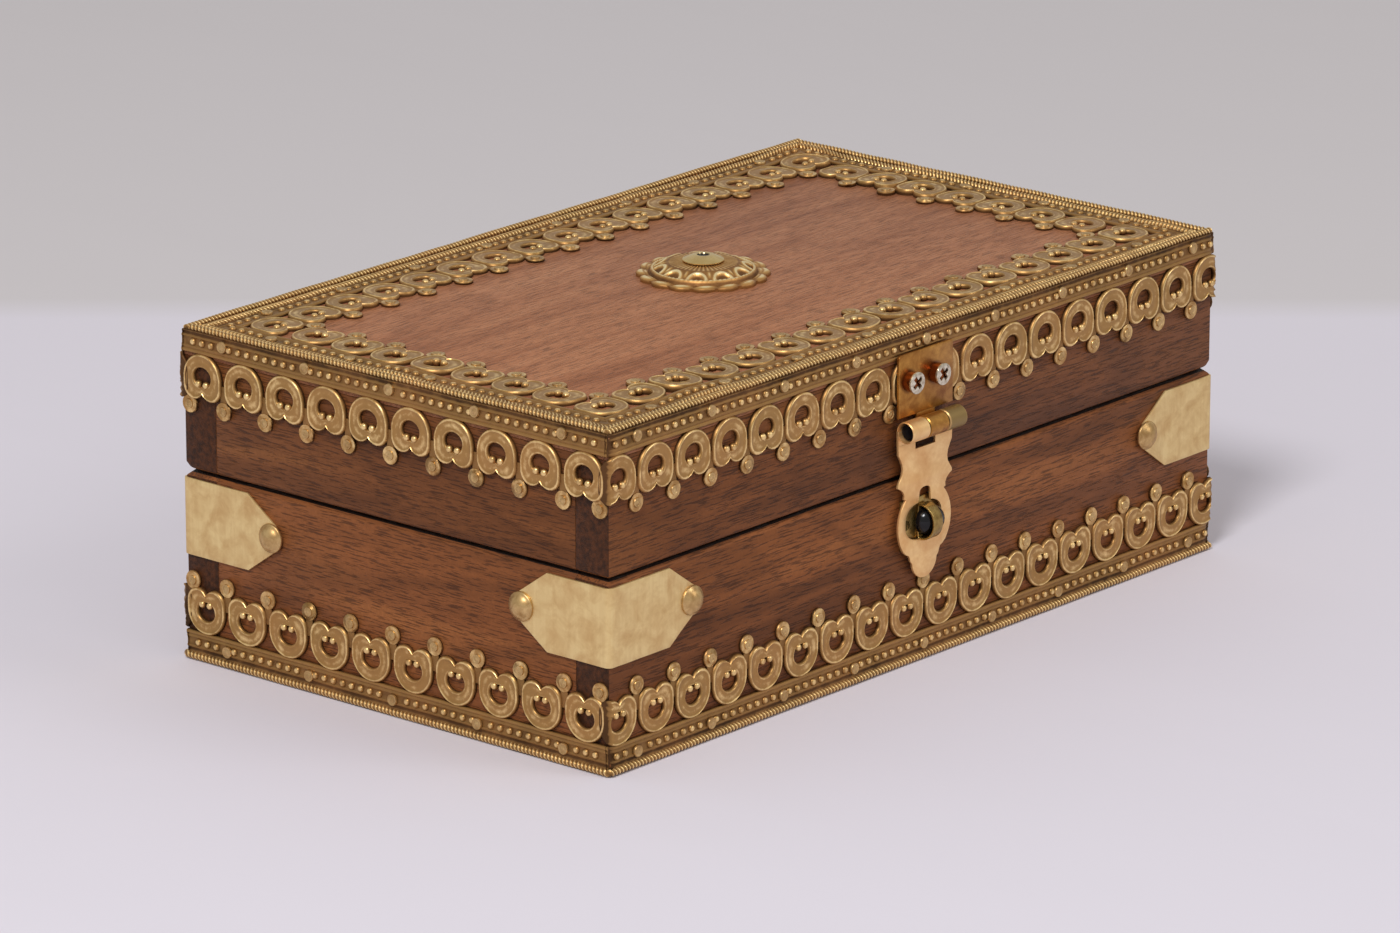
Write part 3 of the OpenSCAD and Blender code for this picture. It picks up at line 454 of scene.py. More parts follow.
# %% [markdown]
# Some finishes are painted darker in one place only: painted shadow on the plate round its
# screws, painted shade and a painted reflection of the plate on the cones under the screw heads,
# painted shade in the socket of the rosette's screw, and a darker olive at the end of the
# strap's knuckle. Each spot puts one more blend before the shader, with a mask, most often from
# the distance to a point.

# %% Painted shade and darker spots


def near_point(tree, point, full, gone):
    """A mask that is 1 within `full` of a point and 0 beyond `gone`, in mm."""
    away = node(tree, "VectorMath", operation="DISTANCE")
    join(tree, object_place(tree), away.inputs[0])
    away.inputs[1].default_value = [c * MM for c in point]
    return map_range(tree, away.outputs["Value"], full * MM, gone * MM, 1, 0)


def darken_spot(material, mask_of, colour):
    """Gives a finish another colour where a mask is 1."""
    tree = material.node_tree
    base = tree.nodes["Principled BSDF"].inputs["Base Color"]
    clean = base.links[0].from_socket
    join(tree, blend_colour(tree, mask_of(tree), clean, colour), base)


# %% [markdown]
# ## Boards
# Each board is a box from the frame. The edges are eased a little, as sandpaper leaves them, and
# the edges beside the parting line are bevelled more. The base has a wide bevel all round, which
# hides in the lid's shadow, and the lid has it only at the back and on the right.

# %% Boards
WIDE_BEVEL = 1.6
WIDE_HEIGHT = 1.4
SMALL_BEVEL = 0.5
EASED = 0.25
SAME = 0.01


def outer_edges(bm, level, sides):
    """The edges beside the parting line that lie in the box's outer faces on the given sides."""
    places = {"front": (1, -HALF_W), "back": (1, HALF_W), "left": (0, -HALF_L), "right": (0, HALF_L)}
    chosen = []
    for edge in bm.edges:
        a, b = edge.verts[0].co, edge.verts[1].co
        for axis, value in (places[side] for side in sides):
            if all(abs(p[axis] - value) < SAME and abs(p.z - level) < SAME for p in (a, b)):
                chosen.append(edge)
    return chosen


def board(name, body, material, groove_z=None):
    low, high = box_mm(name)
    bm = bmesh.new()
    centred_cube(bm, high - low, (low + high) / 2)
    if groove_z is not None:
        wide = ("front", "back", "left", "right") if body == "base" else ("back", "right")
        small = () if body == "base" else ("front", "left")
        for sides, width in ((wide, WIDE_BEVEL), (small, SMALL_BEVEL)):
            edges = outer_edges(bm, groove_z, sides)
            if edges:
                soften(bm, edges, width, segments=1)
        for vert in bm.verts:
            if abs(abs(vert.co.z - groove_z) - WIDE_BEVEL) < SAME:
                vert.co.z = groove_z + math.copysign(WIDE_HEIGHT, vert.co.z - groove_z)
    soften(bm, bm.edges[:], EASED)
    outward(bm)
    return piece(name + "_look", bm, body, material, smooth_angle=30)


lid_low = box_mm("lid_front_board")[0].z
for side in ("front", "back", "left", "right"):
    along = side in ("front", "back")
    board(f"base_{side}_board", "base", wood_long if along else wood_short, BASE_TOP)
    board(f"lid_{side}_board", "lid", shaded_lid_long if along else shaded_lid_short, lid_low)
board("base_bottom_board", "base", wood_long)
board("lid_top_board", "lid", lit_wood_lid)

# %% [markdown]
# ## The brass strips
# All twelve strips are cut from one kind of pressed brass edging. A strip is drawn flat first, in
# its own frame: u runs along it, v goes inward from the rope edge and w stands out of the wood.
# A matrix then lays it on its side of the box. Each kind of strip has its length, the places of
# its rings, of the eyelets between them and of the studs in the bead row, and a mitre or not.

# %% The four kinds of strip
EYELET_V = 17.6
STUD_V = 3.5
BEAD_V = 3.9
EYELET_FOOT_R = 2.0
FOLD_ROUND = 1.2
TOP_IN = 2.0
BASE_ROPE_Z = 0.1
LID_ROPE_OVER = 2.1


def spread(count, pitch):
    return [(i - (count - 1) / 2) * pitch for i in range(count)]


def strip_kind(length, pitch, rings, eyelets, studs, mitred=False):
    """Length, places along u of rings, eyelets and studs, and whether the ends are mitred."""
    reach = length / 2 - EYELET_FOOT_R
    eyelet_places = [max(-reach, min(reach, u)) for u in spread(eyelets, pitch)]
    return length, spread(rings, pitch), eyelet_places, spread(studs, pitch)[::2], mitred


LONG_SIDE = strip_kind(2 * (HALF_L + FOLD_ROUND), 11.553, 18, 17, 17)
SHORT_SIDE = strip_kind(2 * HALF_W, 11.84, 10, 11, 9)
LONG_TOP = strip_kind(2 * (HALF_L - TOP_IN), 11.533, 16, 15, 15, mitred=True)
SHORT_TOP = strip_kind(2 * (HALF_W - TOP_IN), 11.2, 7, 6, 8, mitred=True)
uses = ((LONG_SIDE, 4), (SHORT_SIDE, 4), (LONG_TOP, 2), (SHORT_TOP, 2))
print("rings:", sum(len(kind[1]) * count for kind, count in uses))

# %% Where each strip lies
SIDES = {"front": (0, HALF_W), "left": (-90, HALF_L), "back": (180, HALF_W), "right": (90, HALF_L)}


def side_matrix(side):
    turn, out = SIDES[side]
    return Matrix.Rotation(math.radians(turn), 4, "Z") @ Matrix.Translation((0, -out, 0))


def base_place(side):
    """Rope edge down, rings up."""
    return side_matrix(side) @ Matrix(((1, 0, 0, 0), (0, 0, -1, 0), (0, 1, 0, BASE_ROPE_Z), (0, 0, 0, 1)))


def lid_place(side):
    """Rope edge up, rings down."""
    level = TOP_Z + LID_ROPE_OVER
    return side_matrix(side) @ Matrix(((-1, 0, 0, 0), (0, 0, -1, 0), (0, -1, 0, level), (0, 0, 0, 1)))


def top_place(side):
    """Flat on the lid, rope edge outwards."""
    return side_matrix(side) @ Matrix.Translation((0, TOP_IN, TOP_Z))


print("origin of the base's front strip:", [round(c, 2) for c in base_place("front").translation], "mm")

# %% [markdown]
# The real strips are thin and a little wavy, since they were nailed on by hand. One smooth noise
# along u moves every part of a strip together, so that rope, beads, rings and nails stay joined.
# The `relief` attribute is written at the same time, from the height over the wood.

# %% Waviness and the relief attribute
RECESS_W = 0.2
RELIEF_W = 0.85


def wave(u, seed, length=11):
    return noise.noise(Vector((u / length, seed * 3.7, 0.5)))


def shift_at(u, seed, folded, on_top):
    """How far the strip moves at a place: along v, and outwards."""
    along = -0.14 + 0.16 * wave(u, seed) if folded else 0.13 + 0.13 * wave(u, seed)
    lift = 0.1 * max(0, wave(u, seed + 20))
    if on_top:
        lift += 1.1 * max(0, wave(u, seed + 40, 17))
    return along, lift


def finish_strip(bm, seed, folded, on_top):
    relief = bm.verts.layers.float.get("relief")
    for vert in bm.verts:
        if vert[relief] == 0:
            vert[relief] = max(0.02, min(1, (vert.co.z - RECESS_W) / RELIEF_W))
        along, lift = shift_at(vert.co.x, seed, folded, on_top)
        vert.co.y += along
        vert.co.z += lift * min(1, max(0, vert.co.z))


def new_strip():
    bm = bmesh.new()
    bm.verts.layers.float.new("relief")
    return bm


def verts_of(geom):
    return [g for g in geom if isinstance(g, bmesh.types.BMVert)]


def edges_of(geom):
    return [g for g in geom if isinstance(g, bmesh.types.BMEdge)]


def repeat(bm, geom, places):
    """Copies a shape that is drawn at the origin to each place, and removes the first one."""
    for place in places:
        copied = bmesh.ops.duplicate(bm, geom=geom)["geom"]
        bmesh.ops.translate(bm, verts=verts_of(copied), vec=place)
    bmesh.ops.delete(bm, geom=verts_of(geom), context="VERTS")


def everything(bm):
    return bm.verts[:] + bm.edges[:] + bm.faces[:]


# %% [markdown]
# The edge of the strip is embossed as a twisted rope. A grid is rolled into a tube whose radius
# goes up and down with a slanted wave. The flat band beside it, with its channel for the beads
# and its ledge, is a grid too, wrapped round the band's cross section. The side strips of the lid
# are folded over its top edge, so their rope lies on the lid and their cross section has a bend.

# %% Rope and band
ROPE_PITCH = 1.02
ROPE_R = 0.68
STRAND_R = 0.12
ROPE_STEP = 0.2
BAND_STEP = 2.5
FOOT_W = 0.02
# v and w of the rope's middle, and of the points across the band
FLAT_ROPE = (0.75, 0.46)
FOLDED_ROPE = (1.3, -0.7)
CHANNEL = ((1.75, 0.5), (2.0, 0.36), (2.35, 0.36), (2.65, 0.6), (2.9, 0.66), (3.1, 0.5), (4.7, 0.5),
           (4.95, 0.68), (5.2, 0.62), (5.5, 0.56), (5.7, 0.78), (6.1, 0.8), (6.35, 0.6), (6.4, FOOT_W))
FLAT_SECTION = ((0.9, FOOT_W), (0.9, 0.5)) + CHANNEL
FOLDED_SECTION = ((2.08, FOOT_W), (2.08, -1.15), (1.62, -1.15), (1.6, 0.2), (1.66, 0.42)) + CHANNEL


def tube_grid(bm, columns, rows, length, shape):
    """A closed tube along u with flat ends. shape(u, share) gives v, w and relief of the point at a
    share of the way round, and of the tube's middle where the share is None."""
    relief = bm.verts.layers.float.get("relief")
    made = bmesh.ops.create_grid(bm, x_segments=columns, y_segments=rows, size=0.5)["verts"]
    middle_v, middle_w, _ = shape(0, None)
    for vert in made:
        at_end = abs(abs(vert.co.x) - 0.5) < 1e-6
        u = max(-0.5, min(0.5, vert.co.x * columns / (columns - 2))) * length
        v, w, high = shape(u, vert.co.y + 0.5)
        if at_end:
            v, w = middle_v, middle_w
        vert[relief] = high
        vert.co = (u, v, w)
    bmesh.ops.remove_doubles(bm, verts=made, dist=MERGE)


def rope(bm, length, folded):
    middle_v, middle_w = FOLDED_ROPE if folded else FLAT_ROPE

    def shape(u, share):
        if share is None:
            return middle_v, middle_w + 0.1, 0
        turn = share * 2 * math.pi
        ridge = math.sin(2 * math.pi * (u / ROPE_PITCH) - turn * 1.5)
        radius = ROPE_R + STRAND_R * ridge
        w = middle_w + radius * math.sin(turn)
        return middle_v + radius * math.cos(turn), w if folded else max(FOOT_W, w), 0.72 + 0.42 * ridge
    tube_grid(bm, int(length / ROPE_STEP), 12, length, shape)


def band(bm, length, folded, fold_length):
    section = FOLDED_SECTION if folded else FLAT_SECTION
    last = len(section)

    def shape(u, share):
        if share is None:
            return 3.6, 0.2, 0
        v, w = section[round(share * last) % last]
        if w < 0 and abs(u) > fold_length / 2:
            w = FOOT_W
        return v, w, 0
    tube_grid(bm, int(length / BAND_STEP), last, length, shape)


def mitre(bm, length):
    """Draws the ends in along 45 degrees, as where two strips meet at a corner."""
    half = length / 2
    for vert in bm.verts:
        vert.co.x *= (half - max(0, vert.co.y)) / half


print("points across the band:", len(FLAT_SECTION), "flat,", len(FOLDED_SECTION), "folded")

# %% [markdown]
# A ring is a broad flat washer whose far end spreads into two round lobes with a cleft between
# them. Its outline is found by walking outwards from the opening until the point leaves the round
# head and the two lobes, in the same shape as the CAD solid.

# %% The ring's outline
RING_R = 5.4
RING_V = 11.5
LOBE_R = 2.9
LOBE_V = 13.45
OPENING_V = 11.2
OPENING_U_R = 2.45
OPENING_V_R = 2.05
# share of the way from the opening to the outline, and the height there
RING_STEPS = ((0.0, 0.0), (0.0, 0.6), (0.05, 0.86), (0.12, 0.98), (0.22, 0.88), (0.5, 0.96), (0.76, 0.88),
              (0.86, 1.06), (0.94, 0.96), (0.98, 0.62), (1.0, 0.45), (1.0, 0.02))


def in_ring(u, v):
    if v <= RING_V:
        return u * u + (v - RING_V) ** 2 <= RING_R ** 2
    if v <= LOBE_V:
        return abs(u) <= RING_R
    return (abs(u) - (RING_R - LOBE_R)) ** 2 + (v - LOBE_V) ** 2 <= LOBE_R ** 2


def opening_reach(angle):
    return 1 / math.hypot(math.sin(angle) / OPENING_U_R, math.cos(angle) / OPENING_V_R)


def ring_reach(angle):
    reach = OPENING_U_R
    while in_ring(reach * math.sin(angle), OPENING_V + reach * math.cos(angle)):
        reach += 0.02
    return reach


print(f"ring reaches {ring_reach(0):.2f} mm from its opening's middle in the cleft")

# %% [markdown]
# The ring's mesh starts as the circle of the opening, and each step of an extrusion pushes that
# circle further towards the outline, at the height of the pressed form there. A bead is a small
# ball, flattened and half sunk. An eyelet is a low cup that a nail goes through, on a short stem
# between two rings. Each shape is drawn once, as a template that the strips copy.

# %% Beads, rings and eyelets
# share of the radius, height, and how far it is rubbed bright
EYELET_STEPS = ((1.0, 0.42, 0.25), (0.94, 0.68, 0.9), (0.82, 0.62, 0.75),
                (0.76, 0.44, 0.02), (0.5, 0.44, 0.02))
EYELET_R = 2.1


def ring(bm):
    loop = bmesh.ops.create_circle(bm, segments=40, radius=OPENING_U_R)["verts"]
    first = bm.edges[:]
    edges = first
    for step, (share, height) in enumerate(RING_STEPS):
        if step:
            grown = bmesh.ops.extrude_edge_only(bm, edges=edges)["geom"]
            loop, edges = verts_of(grown), edges_of(grown)
        for vert in loop:
            angle = math.atan2(vert.co.x, vert.co.y)
            inner = opening_reach(angle)
            reach = inner + share * (ring_reach(angle) - inner)
            vert.co = (reach * math.sin(angle), reach * math.cos(angle), height)
    bmesh.ops.bridge_loops(bm, edges=edges + first)
    bmesh.ops.translate(bm, verts=bm.verts, vec=(0, OPENING_V, 0))


def small_ball(bm, radius, height, place):
    made = bmesh.ops.create_uvsphere(bm, u_segments=8, v_segments=5, radius=radius)["verts"]
    bmesh.ops.scale(bm, verts=made, vec=(1, 1, height / radius))
    bmesh.ops.translate(bm, verts=made, vec=place)


def template(make):
    """Draws one shape in a mesh of its own, and gives that mesh."""
    bm = new_strip()
    make(bm)
    outward(bm, FINE_MERGE)
    mesh = bpy.data.meshes.new("template")
    bm.to_mesh(mesh)
    bm.free()
    return mesh


def ring_with_beads(bm):
    ring(bm)
    for u in (-1.1, 1.1):
        small_ball(bm, 0.9, 0.8, (u, 12.8, 0.62))


def eyelet(bm):
    made = bmesh.ops.create_circle(bm, segments=16, radius=EYELET_FOOT_R, cap_ends=True)["verts"]
    face = made[0].link_faces[0]
    relief = bm.verts.layers.float.get("relief")
    for share, height, rubbed in EYELET_STEPS:
        grown = bmesh.ops.extrude_face_region(bm, geom=[face])["geom"]
        for vert in verts_of(grown):
            across = vert.co.xy.normalized() * EYELET_R * share
            vert.co = (across.x, across.y, height)
            vert[relief] = rubbed
        face = next(g for g in grown if isinstance(g, bmesh.types.BMFace))
    bmesh.ops.translate(bm, verts=bm.verts, vec=(0, EYELET_V, 0))


def stem(bm):
    centred_cube(bm, (2.0, 5.0, 0.56), (0, 14.6, 0.28))
    soften(bm, [e for e in bm.edges if all(v.co.z > 0.4 for v in e.verts)], 0.25)


bead_mesh = template(lambda bm: small_ball(bm, 0.86, 0.62, (0, BEAD_V, 0.5)))
ring_mesh = template(ring_with_beads)
eyelet_mesh = template(eyelet)
stem_mesh = template(stem)
print("ring:", len(ring_mesh.polygons), "faces, bead:", len(bead_mesh.polygons))

# %% [markdown]
# A strip is put together from these shapes. Where a long side strip reaches past the corner, its
# last ring is folded round onto the short side, as on the real box.

# %% Putting a strip together
CORNER_U = HALF_L + 0.5
BEAD_PITCH = 2.6
STUD_ROOM = 1.5


def add_copies(bm, mesh, places):
    before = set(bm.verts)
    bm.from_mesh(mesh)
    verts = [v for v in bm.verts if v not in before]
    chosen = set(verts)
    edges = [e for e in bm.edges if e.verts[0] in chosen]
    faces = [f for f in bm.faces if f.verts[0] in chosen]
    repeat(bm, verts + edges + faces, places)


def fold_ends(bm):
    """Turns what reaches past the corner round it, in towards the short side."""
    for vert in bm.verts:
        past = abs(vert.co.x) - CORNER_U
        if past > 0:
            lift = vert.co.z
            vert.co.x = math.copysign(CORNER_U + lift * 0.45, vert.co.x)
            vert.co.z = 0.2 - past * 0.85


def strip(name, kind, body, place, seed, folded=False):
    length, rings, eyelets, studs, mitred = kind
    past_corner = length > 2 * HALF_L
    fold_length = 2 * HALF_L - 0.1 if past_corner else length - 3.1
    bm = new_strip()
    rope(bm, fold_length if folded else length, folded)
    band(bm, length, folded, fold_length)
    if mitred:
        mitre(bm, length)
    half = length / 2 - (BEAD_V if mitred else 0.9)
    beads = [u for u in spread(int(2 * half / BEAD_PITCH), BEAD_PITCH)
             if all(abs(u - stud) > STUD_ROOM for stud in studs)]
    shapes = ((bead_mesh, beads), (ring_mesh, rings), (eyelet_mesh, eyelets), (stem_mesh, eyelets))
    for mesh, places in shapes:
        add_copies(bm, mesh, [(u, 0, 0) for u in places])
    if past_corner:
        fold_ends(bm)
    finish_strip(bm, seed, folded, mitred)
    bmesh.ops.transform(bm, matrix=place, verts=bm.verts)
    bmesh.ops.recalc_face_normals(bm, faces=bm.faces)
    return piece(name + "_look", bm, body, strip_brass, smooth_angle=50)


# %% Twelve strips
for seed, side in enumerate(SIDES):
    side_kind = LONG_SIDE if side in ("front", "back") else SHORT_SIDE
    top_kind = LONG_TOP if side in ("front", "back") else SHORT_TOP
    strip(f"base_{side}_strip", side_kind, "base", base_place(side), seed)
    strip(f"lid_{side}_strip", side_kind, "lid", lid_place(side), seed + 4, True)
    strip(f"top_{side}_strip", top_kind, "lid", top_place(side), seed + 8)

# %% [markdown]
# ## Nails
# The strips are held by round headed brass nails, one in each eyelet and one at every second gap
# in the bead row. A nail head is turned: a profile is spun round the upright axis. The heads have
# a ring pressed in, and they are repeated hundreds of times, so the profile has few points.

# %% Strip nails
SHEET = 0.5


def spun(bm, profile, segments):
    """Spins a profile of radius and height round +Z into a closed solid."""
    verts = [bm.verts.new((r, 0, h)) for r, h in profile]
    edges = [bm.edges.new(pair) for pair in zip(verts, verts[1:])]
    bmesh.ops.spin(bm, geom=verts + edges, cent=(0, 0, 0), axis=(0, 0, 1), dvec=(0, 0, 0),
                   angle=2 * math.pi, steps=segments, use_merge=True, use_duplicate=False)
    outward(bm, FINE_MERGE)


def nail_template(radius, height, segments=14):
    profile = [(0, height), (0.34, height), (0.46, height * 0.8), (0.6, height * 0.8), (0.7, height * 0.97),
               (0.92, height * 0.9), (1.0, height * 0.5), (1.0, 0), (0, 0)]
    return template(lambda bm: spun(bm, [(r * radius, SHEET + h) for r, h in profile], segments))


eyelet_nail = nail_template(1.08, 0.5)
stud_nail = nail_template(1.3, 0.55)


def join_mesh(bm, other):
    mesh = bpy.data.meshes.new("part")
    other.to_mesh(mesh)
    other.free()
    bm.from_mesh(mesh)


def strip_nails(name, body, places):
    bm = new_strip()
    for kind, place, seed, folded in places:
        part = new_strip()
        _, _, eyelets, studs, on_top = kind
        for mesh, spots, v, raised in ((eyelet_nail, eyelets, EYELET_V, 0), (stud_nail, studs, STUD_V, 0.1)):
            shifts = [(u, shift_at(u, seed, folded, on_top)) for u in spots]
            add_copies(part, mesh, [(u, v + along, lift * 0.6 + raised) for u, (along, lift) in shifts])
        bmesh.ops.transform(part, matrix=place, verts=part.verts)
        join_mesh(bm, part)
    bmesh.ops.recalc_face_normals(bm, faces=bm.faces)
    return piece(name + "_look", bm, body, nail_brass, smooth_angle=45)


def kinds(table, place, first_seed, folded=False):
    return [(table[0] if side in ("front", "back") else table[1], place(side), first_seed + i, folded)
            for i, side in enumerate(SIDES)]


strip_nails("base_strip_nails", "base", kinds((LONG_SIDE, SHORT_SIDE), base_place, 0))
strip_nails("lid_strip_nails", "lid", kinds((LONG_SIDE, SHORT_SIDE), lid_place, 4, True))
strip_nails("top_strip_nails", "lid", kinds((LONG_TOP, SHORT_TOP), top_place, 8))

# %% [markdown]
# ## Corner brackets
# A bracket is one flat piece of brass sheet with two pointed arms, bent round the corner. It is
# drawn as it was made: a flat grid, cut to its points, bent, given a thickness, and left with the
# slight dents of handwork. One arm is a little longer than the other, and the four brackets are
# the same piece, turned a quarter from corner to corner.

# %% Brackets
bracket_low, bracket_high = box_mm("bracket_front_left")
BRACKET_Z = (bracket_low.z + bracket_high.z) / 2
BRACKET_H = bracket_high.z - bracket_low.z
BRACKET_T = 0.6
TIP_H = 5.6
# straight part and whole reach of the longer arm, 1, and of the shorter one, -1
ARMS = {1: (18.5, 26.5), -1: (16.7, 24.7)}
TIP_NAIL = 1.5
BEND_R = 1.3
AIR = 0.02


def bend_round_corner(bm, seed):
    """The longer arm runs along X for s > 0 and the shorter one along Y for s < 0."""
    quarter = math.pi / 2 * BEND_R
    middle = BEND_R - BRACKET_T
    for vert in bm.verts:
        s, z = vert.co.x, vert.co.y
        face = -BRACKET_T - 0.09 * noise.noise(Vector((s / 5, z / 6, seed * 5.1)))
        along = middle + abs(s) - quarter / 2
        if s > quarter / 2:
            vert.co = (along, face, z)
        elif s < -quarter / 2:
            vert.co = (face, along, z)
        else:
            angle = s / BEND_R + math.pi / 4
            vert.co = (middle - BEND_R * math.cos(angle), middle - BEND_R * math.sin(angle), z)


def at_corner(sx, sy):
    """A bracket's place at a corner, a quarter turn from one corner to the next."""
    quarters = {(-1, -1): 0, (1, -1): 1, (1, 1): 2, (-1, 1): 3}[sx, sy]
    corner = Matrix.Translation((sx * HALF_L, sy * HALF_W, BRACKET_Z))
    return corner @ Matrix.Rotation(quarters * math.pi / 2, 4, "Z")


def rim_edges(bm):
    """The sharp edges of a thickened sheet."""
    return [e for e in bm.edges if e.calc_face_angle(0) > 1.2]


def bracket(name, sx, sy, seed):
    bm = bmesh.new()
    low, high = -ARMS[-1][1], ARMS[1][1]
    bmesh.ops.create_grid(bm, x_segments=104, y_segments=12, size=0.5)
    bmesh.ops.scale(bm, verts=bm.verts, vec=(high - low, BRACKET_H, 1))
    bmesh.ops.translate(bm, verts=bm.verts, vec=((high + low) / 2, 0, 0))
    rise = (BRACKET_H - TIP_H) / 2
    for arm, (shoulder, tip) in ARMS.items():
        for end in (-1, 1):
            bmesh.ops.bisect_plane(bm, geom=everything(bm), clear_outer=True,
                                   plane_co=(arm * shoulder, end * BRACKET_H / 2, 0),
                                   plane_no=(arm * rise, end * (tip - shoulder), 0))
    bend_round_corner(bm, seed)
    bmesh.ops.recalc_face_normals(bm, faces=bm.faces)
    face = next(f for f in bm.faces if abs(f.normal.y) > 0.9)
    if face.normal.y > 0:
        bmesh.ops.reverse_faces(bm, faces=bm.faces)
    bmesh.ops.solidify(bm, geom=bm.faces[:], thickness=BRACKET_T - AIR)
    soften(bm, rim_edges(bm), 0.16)
    bmesh.ops.transform(bm, matrix=at_corner(sx, sy), verts=bm.verts)
    bmesh.ops.recalc_face_normals(bm, faces=bm.faces)
    return piece(name + "_look", bm, "base", bracket_brass, smooth_angle=35)


for seed, (name, sx, sy) in enumerate((("bracket_front_left", -1, -1), ("bracket_front_right", 1, -1),
                                       ("bracket_back_left", -1, 1), ("bracket_back_right", 1, 1))):
    bracket(name, sx, sy, seed)

# %% [markdown]
# Each pointed end is held by one nail with a big domed head. It is spun like the small ones, and
# its head is a flat cap of a ball with a rolled edge.

# %% Domed nails
DOME_R = 3.2
DOME_H = 2.0


def dome_profile():
    ball = (DOME_R ** 2 + DOME_H ** 2) / (2 * DOME_H)
    radii = [(DOME_R - 0.35) * i / 8 for i in range(9)]
    cap = [(r, math.sqrt(ball ** 2 - r ** 2) - ball + DOME_H) for r in radii]
    return cap + [(DOME_R - 0.12, 0.5), (DOME_R, 0.3), (DOME_R, 0.0), (0, 0)]


dome_mesh = template(lambda bm: spun(bm, dome_profile(), 32))
bm = new_strip()
nail_places = (
    Matrix.Translation((ARMS[1][1] - TIP_NAIL, -BRACKET_T, 0)) @ Matrix.Rotation(math.pi / 2, 4, "X"),
    Matrix.Translation((-BRACKET_T, ARMS[-1][1] - TIP_NAIL, 0)) @ Matrix.Rotation(-math.pi / 2, 4, "Y"))
for sx in (1, -1):
    for sy in (1, -1):
        for place in nail_places:
            start = len(bm.verts)
            bm.from_mesh(dome_mesh)
            bm.verts.ensure_lookup_table()
            bmesh.ops.transform(bm, matrix=at_corner(sx, sy) @ place, verts=bm.verts[start:])
bmesh.ops.recalc_face_normals(bm, faces=bm.faces)
piece("bracket_nails_look", bm, "base", nail_brass, smooth_angle=50)

# %% [markdown]
# ## The latch
# The hasp is two flat pieces of brass joined by a pin. Both have an outline with curves and
# holes, which a filled two-dimensional curve makes at once, with its bevelled edges. The curve is
# turned into a mesh and set upright in front of the wood.

# %% Flat brass from an outline
plate_low, plate_high = box_mm("hasp_plate")
LATCH_X = (plate_low.x + plate_high.x) / 2
LATCH_BACK = 1.2
LATCH_T = 0.65
LATCH_FRONT = LATCH_BACK + LATCH_T
LATCH_EDGE = 0.14


def flat_brass(outlines, thickness, edge):
    curve = bpy.data.curves.new("outline", "CURVE")
    curve.dimensions = "2D"
    curve.fill_mode = "BOTH"
    curve.extrude = thickness / 2 - edge
    curve.bevel_depth = edge
    curve.bevel_resolution = 1
    curve.offset = -edge
    for points in outlines:
        spline = curve.splines.new("POLY")
        spline.points.add(len(points) - 1)
        for point, (x, z) in zip(spline.points, points):
            point.co = (x, z, 0, 1)
        spline.use_cyclic_u = True
    obj = bpy.data.objects.new("outline", curve)
    mesh = bpy.data.meshes.new_from_object(obj)
    bpy.data.objects.remove(obj)
    bm = bmesh.new()
    bm.from_mesh(mesh)
    outward(bm, 0.001)
    return bm


def facing_front(x, out, z):
    """Turns a flat drawing upright to face the front, with its origin at x, z and out off the wood."""
    return Matrix(((1, 0, 0, x), (0, 0, -1, -HALF_W - out), (0, 1, 0, z), (0, 0, 0, 1)))


def stand_up(bm):
    middle = (LATCH_BACK + LATCH_FRONT) / 2
    bmesh.ops.transform(bm, matrix=facing_front(LATCH_X, middle, 0), verts=bm.verts)


def arc(cx, cz, radius, start, end, steps):
    angles = [math.radians(start + (end - start) * i / steps) for i in range(steps + 1)]
    return [(cx + radius * math.cos(a), cz + radius * math.sin(a)) for a in angles]


print(f"latch at x {LATCH_X:.2f} mm, its brass from {LATCH_BACK} to {LATCH_FRONT} mm off the wood")

# %% [markdown]
# The plate and the strap are rolled into knuckles round the pin. A knuckle is a wall's profile
# spun round the pin's axis, and a flap is the flat tongue that runs from it to the plate.

# %% Knuckles and the hasp plate
pin_low, pin_high = box_mm("hasp_pin")
PIN_Z = (pin_low.z + pin_high.z) / 2
PIN_OUT = -HALF_W - (pin_low.y + pin_high.y) / 2
BARREL_R = 2.4
BORE_R = 2.05
PLATE_LOW, PLATE_HIGH = 55.6, plate_high.z
PLATE_HALF = (plate_high.x - plate_low.x) / 2
PLATE_CORNER = 0.8
PLATE_KNUCKLE = 6


def knuckle(bm, x, width):
    """A rolled tube round the pin, with softened ends."""
    profile = [(-width / 2 + 0.15, BORE_R), (-width / 2, BORE_R + 0.08), (-width / 2, BARREL_R - 0.2),
               (-width / 2 + 0.2, BARREL_R), (width / 2 - 0.2, BARREL_R), (width / 2, BARREL_R - 0.2),
               (width / 2, BORE_R + 0.08), (width / 2 - 0.15, BORE_R)]
    verts = [bm.verts.new((LATCH_X + x + along, -HALF_W - PIN_OUT - r, PIN_Z)) for along, r in profile]
    edges = [bm.edges.new(pair) for pair in zip(verts, verts[1:] + verts[:1])]
    bmesh.ops.spin(bm, geom=verts + edges, cent=(0, -HALF_W - PIN_OUT, PIN_Z), axis=(1, 0, 0),
                   dvec=(0, 0, 0), angle=2 * math.pi, steps=28, use_merge=True, use_duplicate=False)


def flap(x, width, low, high):
    left, right = x - width / 2, x + width / 2
    other = flat_brass([[(left, low), (right, low), (right, high), (left, high)]], LATCH_T, 0.1)
    stand_up(other)
    return other


